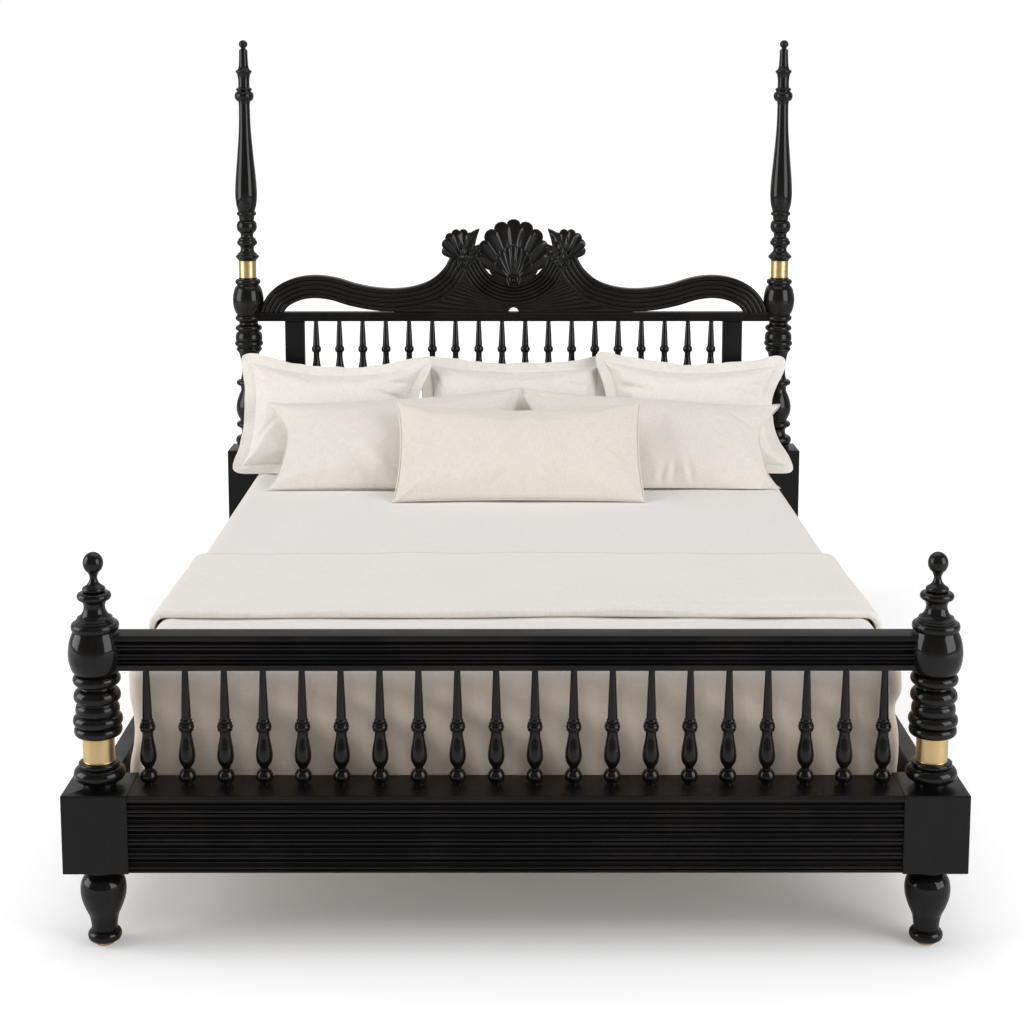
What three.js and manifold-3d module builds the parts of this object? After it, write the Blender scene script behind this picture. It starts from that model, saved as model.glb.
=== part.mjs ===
// A queen-size poster bed: four turned posts with brass collars, a spindled footboard, a spindled headboard
// under a carved crest, reeded rails, a slatted base, and its mattress, bedspread, blanket and pillows.
// Millimetres. X runs across the bed, +Y towards the head, +Z up. The origin is on the floor, mid-bed.
import * as THREE from "three";
import { mergeVertices } from "three/addons/utils/BufferGeometryUtils.js";
import Module from "manifold-3d";

const wasm = await Module();
wasm.setup();

// Driving dimensions: the mattress and the room round it
const MATTRESS_WIDTH = 1524;
const MATTRESS_LENGTH = 2032;
const MATTRESS_HEIGHT = 285;
const MATTRESS_CORNER = 60;
const MATTRESS_EDGE = 12; // how far its top and bottom edges are drawn in
const SIDE_ROOM = 45.5; // from the mattress to a side rail
const BLOCK_ROOM = 14; // least distance from the mattress to a block
const RAIL_ROOM = 2; // from the bedspread's foot to the back of the lower foot rail
const FIT = 0.3; // clearance in every joint
const OVERRUN = 1; // how far solids that are joined run into each other

// Driving dimensions: posts
const BLOCK = 130; // side of the square blocks that the rails enter
const BLOCK_BOTTOM = 171; // height of the legs under the blocks
const HEAD_BLOCK_HEIGHT = 420;
const GLIDE_RADIUS = 20;
const GLIDE_HEIGHT = 7;
const GLIDE_PIN_RADIUS = 4;
const GLIDE_PIN_LENGTH = 18;
const FOOT_COLLAR_RADIUS = 31.9;
const FOOT_COLLAR_HEIGHT = 54;
const HEAD_COLLAR_RADIUS = 27.2;
const HEAD_COLLAR_HEIGHT = 54;
const DOWEL_RADIUS = 15; // the post's own dowel, which carries the collar and the turning above it
const DOWEL_GRIP = 26; // how far the dowel reaches into the turning above the collar

// Driving dimensions: rails
const RAIL_HEIGHT = 161; // side rails and lower foot rail, as tall as the foot blocks
const RAIL_TENON = 25;
const TENON_THICKNESS = 16;
const TENON_MARGIN = 26; // shoulder above and below a rail's tenon
const LOWER_REEDS = 5; // pairs of reeds on the tall rails
const LOWER_BAND = 8; // plain band over them
const REED_DEPTH = 3;
const FOOT_RAIL_DEPTH = 115;
const FOOT_RAIL_REVEAL = 1; // the lower foot rail's face stands this far behind the blocks'
const FOOT_RAIL_LIFT = 2; // and its foot this far above theirs
const BOARD = 24; // top and back boards of the built-up lower foot rail
const FACE_BOARD = 32; // its reeded front
const FOOT_TOP_RAIL_HEIGHT = 71;
const FOOT_TOP_RAIL_DEPTH = 50;
const FOOT_TOP_RAIL_LIFT = 8; // from the groove under the egg to the rail's underside
const FOOT_TOP_REEDS = 3;
const FOOT_TOP_BAND = 10;
const TOP_RAIL_HOUSING = 30; // distance from the post axis to the end of the rails housed in the turnings
const SIDE_RAIL_DEPTH = 35;
const HEAD_RAIL_HEIGHT = 28;
const HEAD_RAIL_DEPTH = 36;
const HEAD_RAIL_REEDS = 2;
const HEAD_RAIL_BAND = 6;
const HEAD_LOWER_RAIL_HEIGHT = 150;
const HEAD_LOWER_RAIL_DEPTH = 50;
const STRETCHER_HEIGHT = 130;
const STRETCHER_DEPTH = 30;
const STILE_WIDTH = 60;
const STILE_DEPTH = 28;
const STILE_INSET = 144; // from a post axis to the stile's centre line
const STILE_TENON = 18; // how far a stile's tenons reach into the rails
const STILE_TENON_MARGIN = 8; // shoulder round them
const HEAD_RAIL_BITE = 14; // how far the upper one goes in

// Driving dimensions: spindles
const FOOT_SPINDLES = 20;
const FOOT_SPINDLE_MARGIN = 32.3; // from a block's inner face to the first spindle's axis
const FOOT_SPINDLE_FOOT = 9; // radii of their ends
const FOOT_SPINDLE_TIP = 6;
const HEAD_SPINDLES = 18;
const HEAD_SPINDLE_MARGIN = 35.6; // from a stile's inner face to the first spindle's axis
const HEAD_SPINDLE_FOOT = 8;
const HEAD_SPINDLE_TIP = 6.6;
const SPINDLE_SEAT = 10; // depth of the round seats that the spindles stand in

// Driving dimensions: crest
const CREST_DEPTH = 30;
const CREST_END = 42; // from a post axis to the end of the crest, which is let into the post
const CREST_END_HEIGHT = 70;
const ARM_WIDTH = 71;
const ARM_REEDS = 5;
const ARM_RELIEF = 6;
const ARM_TIP = 162; // from mid-bed to the arm's inner end, under the side shell
const ARM_TIP_HEIGHT = 160; // of that end above the crest's foot
const ARM_NECK = 48; // how far below that end the arm turns upright
const ARM_LET_IN = 4; // how far the arm's reeds run on into the post
const FIELD_REEDS = 6;
const FIELD_PITCH = 11;
const FIELD_RELIEF = 4.5;
const FIELD_INNER_RADIUS = 108;
const SHELL_RADIUS = 112;
const SHELL_CENTRE = 176; // height of the shell's centre above the crest's foot
const SHELL_LOBES = 9;
const FAN_RADIUS = 62; // the small fan on the shell
const FAN_DROP = 24; // from the shell's centre to the fan's
const FAN_LOBES = 9;
const SIDE_SHELL_RADIUS = 58;
const SIDE_SHELL_LOBES = 6;
const SIDE_SHELL_LEAN = 7; // across, from the side shell's hinge to its centre
const SIDE_SHELL_RISE = 40; // and up
const LEAF_OUTLINE = [[-32, -10], [14, -10], [8, 45], [-26, 66], [-55, 98], [-58, 66], [-66, 46], [-56, 24]];
const SHELL_INSET = 4; // the shells' backs stand this far off the crest's back
const CREST_HOLE_RADIUS = 15;

// Driving dimensions: base
const SLAT_DROP = 72; // from the side rails' top to the slats' top
const SLATS = 11;
const SLAT_WIDTH = 75;
const SLAT_THICKNESS = 20;
const BATTEN_WIDTH = 60;
const BATTEN_THICKNESS = 10;
const LEDGER_HEIGHT = 40;
const LEDGER_DEPTH = 25;
const BEAM_WIDTH = 60;
const BEAM_HEIGHT = 60;
const BEAM_LEG = 50;
const LEG_PIN_RADIUS = 12; // the round pin on the middle leg's top, which stands in the beam
const LEG_PIN_LENGTH = 25;
const BEAM_TENON = 18;
const BEAM_TENON_MARGIN = 15;

// Driving dimensions: bedding
const SPREAD_THICKNESS = 12;
const SPREAD_SIDE = 24; // how far the spread stands off the mattress at its sides
const SPREAD_FOOT = 27; // and at the foot, over its folds
const SPREAD_HEM_DROP = 32; // how far the hem hangs below the side rails' top
const FOLD_DEPTH = 8;
const FOLDS = 9;
const BLANKET_SETBACK = 312; // from the mattress foot to the blanket's front edge
const BLANKET_LENGTH = 517;
const BLANKET_THICKNESS = 17;
const BLANKET_DROP = 215; // from the blanket's top to its hanging edges
const BLANKET_STANDOFF = 8; // from the spread's side to the blanket's middle
const SHAM_TOP_ROOM = 40; // from the head spindles' line to the middle sham's top edge
const SHAM_SETBACK = 27; // how far the side shams stand before the middle one
const SHAM_TUCK = 52; // how far the side shams cover the middle one
const PILLOW_GAP = 26; // between the two middle pillows
const PILLOW_OFFSET = 22; // of that gap from mid-bed
const ROW_ROOM = 12; // between a pillow's top edge and the face that it leans on

// How finely round pieces are faceted
const POST_SIDES = 8;
const SPINDLE_SIDES = 6;
const ARM_STATIONS = 12;
const FIELD_STATIONS = 10;

// Places and levels that several pieces share
const FOOT_END_ROOM = SPREAD_FOOT + RAIL_ROOM + FOOT_RAIL_DEPTH - BLOCK / 2;
const END_ROOM = Math.max(FOOT_END_ROOM, BLOCK / 2 + BLOCK_ROOM); // from the mattress to the post axes
const POST_SPACING = MATTRESS_WIDTH + SIDE_RAIL_DEPTH + 2 * SIDE_ROOM;
const POST_REACH = MATTRESS_LENGTH + 2 * END_ROOM;
const POST_X = POST_SPACING / 2;
const FOOT_Y = -POST_REACH / 2;
const HEAD_Y = POST_REACH / 2;
const FOOT_BLOCK_TOP = BLOCK_BOTTOM + RAIL_HEIGHT;
const HEAD_BLOCK_TOP = BLOCK_BOTTOM + HEAD_BLOCK_HEIGHT;
const BLOCK_INNER_X = POST_X - BLOCK / 2;
const RAIL_INNER_X = POST_X - SIDE_RAIL_DEPTH / 2;
const SLAT_TOP = FOOT_BLOCK_TOP - SLAT_DROP;
const SLAT_BOTTOM = SLAT_TOP - SLAT_THICKNESS;
const BEAM_TOP = SLAT_BOTTOM - FIT; // the ledgers and the beam carry the slats at one level
const MATTRESS_BOTTOM = SLAT_TOP + FIT;
const MATTRESS_TOP = MATTRESS_BOTTOM + MATTRESS_HEIGHT;
const SPREAD_TOP = MATTRESS_TOP + FIT + SPREAD_THICKNESS;

// Turns a closed geometry into a solid: vertices that coincide are shared, and empty triangles are dropped.
function solidOf(geometry) {
  const bare = geometry.clone();
  bare.deleteAttribute("normal");
  bare.deleteAttribute("uv");
  const merged = mergeVertices(bare, 1e-4);
  const corners = merged.index.array;
  const kept = [];
  for (let i = 0; i < corners.length; i += 3) {
    const [a, b, c] = [corners[i], corners[i + 1], corners[i + 2]];
    if (a !== b && b !== c && c !== a) kept.push(a, b, c);
  }
  const vertProperties = new Float32Array(merged.attributes.position.array);
  const mesh = new wasm.Mesh({ numProp: 3, vertProperties, triVerts: new Uint32Array(kept) });
  return new wasm.Manifold(mesh);
}

// Turns a solid back into a geometry that a mesh can show.
function geometryOf(solid) {
  const mesh = solid.getMesh();
  const geometry = new THREE.BufferGeometry();
  geometry.setAttribute("position", new THREE.BufferAttribute(new Float32Array(mesh.vertProperties), 3));
  geometry.setIndex(new THREE.BufferAttribute(new Uint32Array(mesh.triVerts), 1));
  const shown = geometry.toNonIndexed();
  shown.computeVertexNormals();
  return shown;
}

function join(...solids) {
  return solids.reduce((whole, piece) => whole.add(piece));
}

// A box between two corners.
function block(x0, x1, y0, y1, z0, z1) {
  const box = new THREE.BoxGeometry(x1 - x0, y1 - y0, z1 - z0);
  return solidOf(box.translate((x0 + x1) / 2, (y0 + y1) / 2, (z0 + z1) / 2));
}

// A section drawn in (y, z) and run along X between two stations.
function runAlongX(points, x0, x1) {
  const section = new THREE.Shape(points.map(([y, z]) => new THREE.Vector2(y, z)));
  const run = new THREE.ExtrudeGeometry(section, { depth: x1 - x0, bevelEnabled: false });
  const turn = new THREE.Matrix4().makeBasis(
    new THREE.Vector3(0, 1, 0),
    new THREE.Vector3(0, 0, 1),
    new THREE.Vector3(1, 0, 0),
  );
  return solidOf(run.applyMatrix4(turn).translate(x0, 0, 0));
}

// A section drawn in (x, z) and run along Y between two stations.
function runAlongY(points, y0, y1) {
  const section = new THREE.Shape(points.map(([x, z]) => new THREE.Vector2(x, z)));
  const run = new THREE.ExtrudeGeometry(section, { depth: y1 - y0, bevelEnabled: false });
  return solidOf(run.rotateX(Math.PI / 2).translate(0, y1, 0));
}

// A closed skin over rings of equally many points, with flat ends.
function loft(rings) {
  const count = rings[0].length;
  const positions = rings.flat().flatMap((p) => [p.x, p.y, p.z]);
  const faces = [];
  for (let r = 0; r + 1 < rings.length; r += 1) {
    for (let i = 0; i < count; i += 1) {
      const j = (i + 1) % count;
      const [a, b, c, d] = [r * count + i, r * count + j, (r + 1) * count + j, (r + 1) * count + i];
      faces.push(a, b, c, a, c, d);
    }
  }
  const last = (rings.length - 1) * count;
  for (const [a, b, c] of flatEnd(rings[0])) faces.push(c, b, a);
  for (const [a, b, c] of flatEnd(rings.at(-1))) faces.push(last + a, last + b, last + c);
  const geometry = new THREE.BufferGeometry();
  geometry.setAttribute("position", new THREE.Float32BufferAttribute(positions, 3));
  geometry.setIndex(faces);
  const made = solidOf(geometry);
  if (made.volume() > 0) return made;
  geometry.setIndex(faces.toReversed());
  return solidOf(geometry);
}

// Triangles that close a flat ring, wound the way the ring runs.
function flatEnd(ring) {
  const normal = new THREE.Vector3();
  ring.forEach((p, i) => normal.add(new THREE.Vector3().crossVectors(p, ring[(i + 1) % ring.length])));
  const turn = new THREE.Quaternion().setFromUnitVectors(normal.normalize(), new THREE.Vector3(0, 0, 1));
  const flat = ring.map((p) => p.clone().applyQuaternion(turn)).map((p) => new THREE.Vector2(p.x, p.y));
  return THREE.ShapeUtils.triangulateShape(flat, []);
}

// A lathe profile written as a turner works it: upwards, element by element.
class Turning {
  constructor(height, radius) {
    this.height = height;
    this.outline = [new THREE.Vector2(0, height), new THREE.Vector2(radius, height)];
    this.marks = {};
  }

  mark(name) {
    this.marks[name] = this.height;
    return this;
  }

  // A straight side that ends at a radius after a length.
  taper(radius, length) {
    this.height += length;
    this.outline.push(new THREE.Vector2(radius, this.height));
    return this;
  }

  shoulder(radius) {
    return this.taper(radius, 0);
  }

  // A rounded ring that ends in the groove after it.
  bead(radius, length, groove) {
    return this.taper(radius, length * 0.3).taper(radius, length * 0.4).taper(groove, length * 0.3);
  }

  // A narrow ring, with one ridge.
  fillet(radius, length, groove) {
    return this.taper(radius, length / 2).taper(groove, length / 2);
  }

  ball(radius, length, end) {
    this.taper(radius * 0.72, length * 0.14).taper(radius, length * 0.24);
    return this.taper(radius, length * 0.24).taper(radius * 0.72, length * 0.24).taper(end, length * 0.14);
  }

  // A smooth swelling through radii that lie a length apart.
  swell(...steps) {
    steps.forEach(([radius, length]) => this.taper(radius, length));
    return this;
  }

  solid(sides) {
    const closed = [...this.outline, new THREE.Vector2(0, this.height)];
    const lathe = new THREE.LatheGeometry(closed, sides, Math.PI / 2);
    return solidOf(lathe.rotateX(Math.PI / 2));
  }
}

// The leg under a block: glide seat, ring foot, waist, bulb and neck.
function legTurning() {
  const seat = GLIDE_HEIGHT + FIT;
  const ring = 22.5;
  const neck = 36;
  const bulb = BLOCK_BOTTOM + OVERRUN - seat - ring - neck;
  return new Turning(seat, 27)
    .bead(33.8, ring, 26)
    .swell([26.5, bulb * 0.12], [30, bulb * 0.17], [38, bulb * 0.17])
    .swell([45.5, bulb * 0.3], [43, bulb * 0.16], [34, bulb * 0.08])
    .fillet(37, neck / 3, 30)
    .taper(30, (neck * 2) / 3);
}

// Above a foot block: a disc, a heavy ring and the seat of the collar.
function footBase() {
  return new Turning(FOOT_BLOCK_TOP - OVERRUN, 31)
    .taper(31, 11)
    .bead(50.8, 30, 42.2)
    .taper(39, 9)
    .mark("collar");
}

// Above a head block, up to the seat of the collar.
function headShaft() {
  return new Turning(HEAD_BLOCK_TOP - OVERRUN, 40)
    .taper(40, 9)
    .bead(47, 32, 27.5)
    .taper(27.5, 20)
    .fillet(43.6, 27, 32.5)
    .swell([40.5, 20], [43.4, 19], [39.4, 28], [27.8, 31])
    .taper(27.8, 8)
    .fillet(41.5, 28, 24)
    .swell([26.6, 54], [30.5, 22], [34, 8])
    .fillet(39.9, 15, 37)
    .bead(43.9, 19, 41)
    .swell([40, 22], [33.2, 8])
    .fillet(41, 19, 28.5)
    .taper(28.5, 12.5)
    .mark("rail")
    .fillet(40.6, 18.5, 35.6)
    .taper(36, 6)
    .swell([44.5, 18], [47.6, 25], [45, 21], [33.8, 25])
    .fillet(39, 21, 31)
    .mark("collar");
}

const footBaseTurning = footBase();
const headShaftTurning = headShaft();
const FOOT_COLLAR_SEAT = footBaseTurning.marks.collar;
const HEAD_COLLAR_SEAT = headShaftTurning.marks.collar;

// The turning above a foot collar: rings, the egg that the top rail enters, and the ball finial.
function footFinial() {
  return new Turning(FOOT_COLLAR_SEAT + FOOT_COLLAR_HEIGHT, 41)
    .bead(47.2, 20, 43.5)
    .taper(43.5, 2)
    .bead(49.3, 19, 44)
    .swell([43.9, 18], [39.1, 10])
    .fillet(47.6, 27, 33.2)
    .taper(33.2, 6)
    .fillet(47, 24, 43.5)
    .taper(43.5, 3)
    .mark("egg")
    .swell([50.4, 13], [54.1, 27], [51.9, 19], [44, 27])
    .fillet(46.8, 14, 42)
    .taper(34.2, 10)
    .swell([21.5, 18], [24.5, 16])
    .fillet(33.4, 18, 22)
    .fillet(22.8, 11, 16)
    .swell([7.3, 17], [8.5, 9])
    .ball(19.9, 42, 0);
}

// The tall turning above a head collar: flange, rings, long vase, upper rings and ball tip.
function headSpire() {
  return new Turning(HEAD_COLLAR_SEAT + HEAD_COLLAR_HEIGHT, 30)
    .fillet(36.2, 21, 28.8)
    .swell([20.2, 14], [20.2, 7])
    .fillet(31, 24, 25)
    .swell([19.1, 9], [20, 8])
    .ball(31.2, 45, 23.7)
    .taper(23.7, 9)
    .fillet(29.9, 15, 24.9)
    .swell([30.3, 18], [33.5, 38], [31.7, 37], [26.1, 62], [20.8, 62], [17, 91], [16.9, 24])
    .ball(29, 33, 21.9)
    .fillet(24.7, 12, 17.5)
    .taper(19.4, 39)
    .fillet(25.2, 18, 15.5)
    .taper(13, 58)
    .taper(6.9, 4)
    .ball(13.1, 25, 0);
}

const footFinialTurning = footFinial();
const headSpireTurning = headSpire();
const FOOT_TOP_RAIL_BOTTOM = footFinialTurning.marks.egg + FOOT_TOP_RAIL_LIFT;
const FOOT_TOP_RAIL_TOP = FOOT_TOP_RAIL_BOTTOM + FOOT_TOP_RAIL_HEIGHT;
const HEAD_RAIL_BOTTOM = headShaftTurning.marks.rail;
const HEAD_RAIL_TOP = HEAD_RAIL_BOTTOM + HEAD_RAIL_HEIGHT;
const CREST_FOOT = HEAD_RAIL_TOP + FIT;
const CREST_FRONT = HEAD_Y - CREST_DEPTH / 2;
const CREST_BACK = HEAD_Y + CREST_DEPTH / 2;

// A straight round pin or bore between two heights.
function pin(radius, z0, z1, sides) {
  return new Turning(z0, radius).taper(radius, z1 - z0).solid(sides);
}

// Height ranges of the rails' tenons.
const HEAD_LOWER_BOTTOM = HEAD_BLOCK_TOP - HEAD_LOWER_RAIL_HEIGHT;
const SIDE_TENON = [BLOCK_BOTTOM + TENON_MARGIN, FOOT_BLOCK_TOP - TENON_MARGIN];
const STRETCHER_TENON = [BLOCK_BOTTOM + TENON_MARGIN, BLOCK_BOTTOM + STRETCHER_HEIGHT - TENON_MARGIN];
const HEAD_LOWER_TENON = [HEAD_LOWER_BOTTOM + TENON_MARGIN, HEAD_BLOCK_TOP - TENON_MARGIN];

// The lower foot rail's tenon lies in the middle of its front board.
const FACE_FRONT = FOOT_Y - BLOCK / 2 + FOOT_RAIL_REVEAL;
const FACE_TENON_Y = FACE_FRONT + FACE_BOARD / 2;

// A mortise is cut at the post's own axis, for a post on the +X side. This one takes a side rail:
// it opens towards the head on a foot post (facing 1) and towards the foot on a head post (facing -1).
function sideMortise(facing) {
  const [z0, z1] = SIDE_TENON;
  const half = TENON_THICKNESS / 2 + FIT;
  const ends = [facing * (BLOCK / 2 - RAIL_TENON - FIT), facing * BLOCK];
  return block(-half, half, Math.min(...ends), Math.max(...ends), z0 - FIT, z1 + FIT);
}

// And this one takes a rail that crosses the bed.
function crossMortise(centreY, postY, [z0, z1]) {
  const half = TENON_THICKNESS / 2 + FIT;
  const bottom = BLOCK / 2 - RAIL_TENON - FIT;
  return block(-BLOCK, -bottom, centreY - postY - half, centreY - postY + half, z0 - FIT, z1 + FIT);
}

// A housing in a turning for the end of a rail of this depth, which stops short of the post axis.
function housing(stop, depth, z0, z1) {
  const half = depth / 2 + FIT;
  return block(-BLOCK, FIT - stop, -half, half, z0 - FIT, z1 + FIT);
}

// A post at the origin's axis, seen as the one on the +X side: leg, block, turning and dowel.
function postBody(blockTop, turning, collarHeight) {
  const half = BLOCK / 2;
  const seat = turning.marks.collar;
  const bore = pin(GLIDE_PIN_RADIUS + FIT, 0, GLIDE_HEIGHT + GLIDE_PIN_LENGTH + FIT, POST_SIDES);
  return join(
    legTurning().solid(POST_SIDES),
    block(-half, half, -half, half, BLOCK_BOTTOM, blockTop),
    turning.solid(POST_SIDES),
    pin(DOWEL_RADIUS, seat - OVERRUN, seat + collarHeight + DOWEL_GRIP, POST_SIDES),
  ).subtract(bore);
}

function footPost() {
  return postBody(FOOT_BLOCK_TOP, footBaseTurning, FOOT_COLLAR_HEIGHT)
    .subtract(sideMortise(1))
    .subtract(crossMortise(FACE_TENON_Y, FOOT_Y, SIDE_TENON));
}

function headPost() {
  const crestEndDepth = CREST_DEPTH + 2 * ARM_RELIEF;
  return postBody(HEAD_BLOCK_TOP, headShaftTurning, HEAD_COLLAR_HEIGHT)
    .subtract(sideMortise(-1))
    .subtract(crossMortise(HEAD_Y, HEAD_Y, STRETCHER_TENON))
    .subtract(crossMortise(HEAD_Y, HEAD_Y, HEAD_LOWER_TENON))
    .subtract(housing(TOP_RAIL_HOUSING, HEAD_RAIL_DEPTH, HEAD_RAIL_BOTTOM, HEAD_RAIL_TOP))
    .subtract(housing(CREST_END, crestEndDepth, CREST_FOOT, CREST_FOOT + CREST_END_HEIGHT));
}

function collar(radius, seat, height) {
  const [bottom, top] = [seat + FIT, seat + height - FIT];
  const hole = pin(DOWEL_RADIUS + FIT, bottom - OVERRUN, top + OVERRUN, POST_SIDES);
  return pin(radius, bottom, top, POST_SIDES).subtract(hole);
}

function upperTurning(turning, seat) {
  const socket = pin(DOWEL_RADIUS + FIT, seat - OVERRUN, seat + DOWEL_GRIP + FIT, POST_SIDES);
  return turning.solid(POST_SIDES).subtract(socket);
}

function footUpper() {
  const cut = housing(TOP_RAIL_HOUSING, FOOT_TOP_RAIL_DEPTH, FOOT_TOP_RAIL_BOTTOM, FOOT_TOP_RAIL_TOP);
  return upperTurning(footFinialTurning, FOOT_COLLAR_SEAT + FOOT_COLLAR_HEIGHT).subtract(cut);
}

function glide() {
  return new Turning(0, GLIDE_RADIUS)
    .taper(GLIDE_RADIUS, GLIDE_HEIGHT)
    .shoulder(GLIDE_PIN_RADIUS)
    .taper(GLIDE_PIN_RADIUS, GLIDE_PIN_LENGTH)
    .solid(POST_SIDES);
}

// The reeded face that the rails share, from its foot to its top: each repeat is a pair of reeds with a
// nick between them, then a sunk band.
function reededFace(face, outward, z0, z1, repeats, band) {
  const pitch = (z1 - z0 - band) / repeats;
  const sunk = face - outward * REED_DEPTH;
  const nick = face - outward * REED_DEPTH * 0.6;
  const points = [];
  for (let i = 0; i < repeats; i += 1) {
    const z = z0 + i * pitch;
    points.push([face, z], [face, z + pitch * 0.28], [nick, z + pitch * 0.33], [face, z + pitch * 0.38]);
    points.push([face, z + pitch * 0.62], [sunk, z + pitch * 0.72], [sunk, z + pitch * 0.98]);
  }
  points.push([face, z1 - band], [face, z1]);
  return points;
}

// The section of a rail that crosses the bed: a flat back and a reeded face towards the foot.
function crossSection(front, back, z0, z1, repeats, band) {
  return [[back, z0], [back, z1], ...reededFace(front, -1, z0, z1, repeats, band).reverse()];
}

// Places of a row of evenly spaced spindles, from one margin inside a clear span to the other.
function rowOf(count, clearHalf, margin) {
  const reach = clearHalf - margin;
  return Array.from({ length: count }, (_, i) => ((2 * i) / (count - 1) - 1) * reach);
}

const FOOT_SPINDLE_XS = rowOf(FOOT_SPINDLES, BLOCK_INNER_X, FOOT_SPINDLE_MARGIN);
const STILE_X = POST_X - STILE_INSET;
const HEAD_SPINDLE_XS = rowOf(HEAD_SPINDLES, STILE_X - STILE_WIDTH / 2, HEAD_SPINDLE_MARGIN);

// Round seats for a row of spindles, between two heights.
function seats(xs, radius, y, z0, z1) {
  return join(...xs.map((x) => pin(radius + FIT, z0, z1, SPINDLE_SIDES).translate([x, y, 0])));
}

// The lower foot rail: reeded front board, top board that carries the spindles, and a back board.
function footLowerRail() {
  const back = FOOT_Y - BLOCK / 2 + FOOT_RAIL_DEPTH;
  const [z0, z1] = [BLOCK_BOTTOM + FOOT_RAIL_LIFT, FOOT_BLOCK_TOP];
  const section = [
    [back, z0],
    [back, z1],
    ...reededFace(FACE_FRONT, -1, z0, z1, LOWER_REEDS, LOWER_BAND).reverse(),
    [FACE_FRONT + FACE_BOARD, z0],
    [FACE_FRONT + FACE_BOARD, z1 - BOARD],
    [back - BOARD, z1 - BOARD],
    [back - BOARD, z0],
  ];
  const end = BLOCK_INNER_X - FIT;
  return join(runAlongX(section, -end, end), crossTenon(end, FACE_TENON_Y, SIDE_TENON))
    .subtract(beamTenon(FIT))
    .subtract(seats(FOOT_SPINDLE_XS, FOOT_SPINDLE_FOOT, FOOT_Y, z1 - SPINDLE_SEAT, z1 + OVERRUN));
}

function footTopRail() {
  const half = FOOT_TOP_RAIL_DEPTH / 2;
  const [z0, z1] = [FOOT_TOP_RAIL_BOTTOM, FOOT_TOP_RAIL_TOP];
  const section = crossSection(FOOT_Y - half, FOOT_Y + half, z0, z1, FOOT_TOP_REEDS, FOOT_TOP_BAND);
  const end = POST_X - TOP_RAIL_HOUSING;
  return runAlongX(section, -end, end)
    .subtract(seats(FOOT_SPINDLE_XS, FOOT_SPINDLE_TIP, FOOT_Y, z0 - OVERRUN, z0 + SPINDLE_SEAT));
}

// A foot spindle: disc, ball, vase, ring and a long taper up to the top rail.
function footSpindle() {
  const turning = new Turning(FOOT_BLOCK_TOP - SPINDLE_SEAT + FIT, FOOT_SPINDLE_FOOT)
    .taper(FOOT_SPINDLE_FOOT, SPINDLE_SEAT - FIT + 5)
    .fillet(17.4, 28, 8)
    .swell([16.5, 26], [14.5, 24], [10.7, 28])
    .fillet(16, 17, 10);
  return turning.taper(FOOT_SPINDLE_TIP, FOOT_TOP_RAIL_BOTTOM - turning.height)
    .taper(FOOT_SPINDLE_TIP, SPINDLE_SEAT - FIT)
    .solid(SPINDLE_SIDES);
}

// A head spindle: its upper taper, ring and vase show over the pillows.
function headSpindle() {
  const topTaper = 78;
  const ring = 20;
  const vase = 70;
  const turning = new Turning(HEAD_BLOCK_TOP - SPINDLE_SEAT + FIT, HEAD_SPINDLE_FOOT)
    .taper(HEAD_SPINDLE_FOOT, SPINDLE_SEAT + 5)
    .fillet(15, 26, 7.5);
  return turning.taper(16.5, HEAD_RAIL_BOTTOM - topTaper - ring - vase - turning.height)
    .taper(10, vase)
    .fillet(14.6, ring, 10.9)
    .taper(HEAD_SPINDLE_TIP, topTaper + OVERRUN)
    .solid(SPINDLE_SIDES);
}

// The slim rail under the crest, with the head spindles that are wedged into it for good.
function headUpperRail() {
  const half = HEAD_RAIL_DEPTH / 2;
  const [z0, z1] = [HEAD_RAIL_BOTTOM, HEAD_RAIL_TOP];
  const section = crossSection(HEAD_Y - half, HEAD_Y + half, z0, z1, HEAD_RAIL_REEDS, HEAD_RAIL_BAND);
  const end = POST_X - TOP_RAIL_HOUSING;
  const spindle = headSpindle();
  const spindles = HEAD_SPINDLE_XS.map((x) => spindle.translate([x, HEAD_Y, 0]));
  return join(runAlongX(section, -end, end), ...spindles).subtract(stileTenons(FIT));
}

function headLowerRail() {
  const half = HEAD_LOWER_RAIL_DEPTH / 2;
  const [z0, z1] = [HEAD_LOWER_BOTTOM, HEAD_BLOCK_TOP];
  const section = crossSection(HEAD_Y - half, HEAD_Y + half, z0, z1, LOWER_REEDS, LOWER_BAND);
  const end = BLOCK_INNER_X - FIT;
  return join(runAlongX(section, -end, end), crossTenon(end, HEAD_Y, HEAD_LOWER_TENON))
    .subtract(seats(HEAD_SPINDLE_XS, HEAD_SPINDLE_FOOT, HEAD_Y, z1 - SPINDLE_SEAT, z1 + OVERRUN))
    .subtract(stileTenons(FIT));
}

// The tenons at both ends of a rail that crosses the bed.
function crossTenon(end, centreY, [z0, z1]) {
  const half = TENON_THICKNESS / 2;
  return block(-end - RAIL_TENON, end + RAIL_TENON, centreY - half, centreY + half, z0, z1);
}

function headStretcher() {
  const half = STRETCHER_DEPTH / 2;
  const end = BLOCK_INNER_X - FIT;
  const board = block(-end, end, HEAD_Y - half, HEAD_Y + half, BLOCK_BOTTOM, BLOCK_BOTTOM + STRETCHER_HEIGHT);
  return join(board, crossTenon(end, HEAD_Y, STRETCHER_TENON)).subtract(beamTenon(FIT));
}

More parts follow.
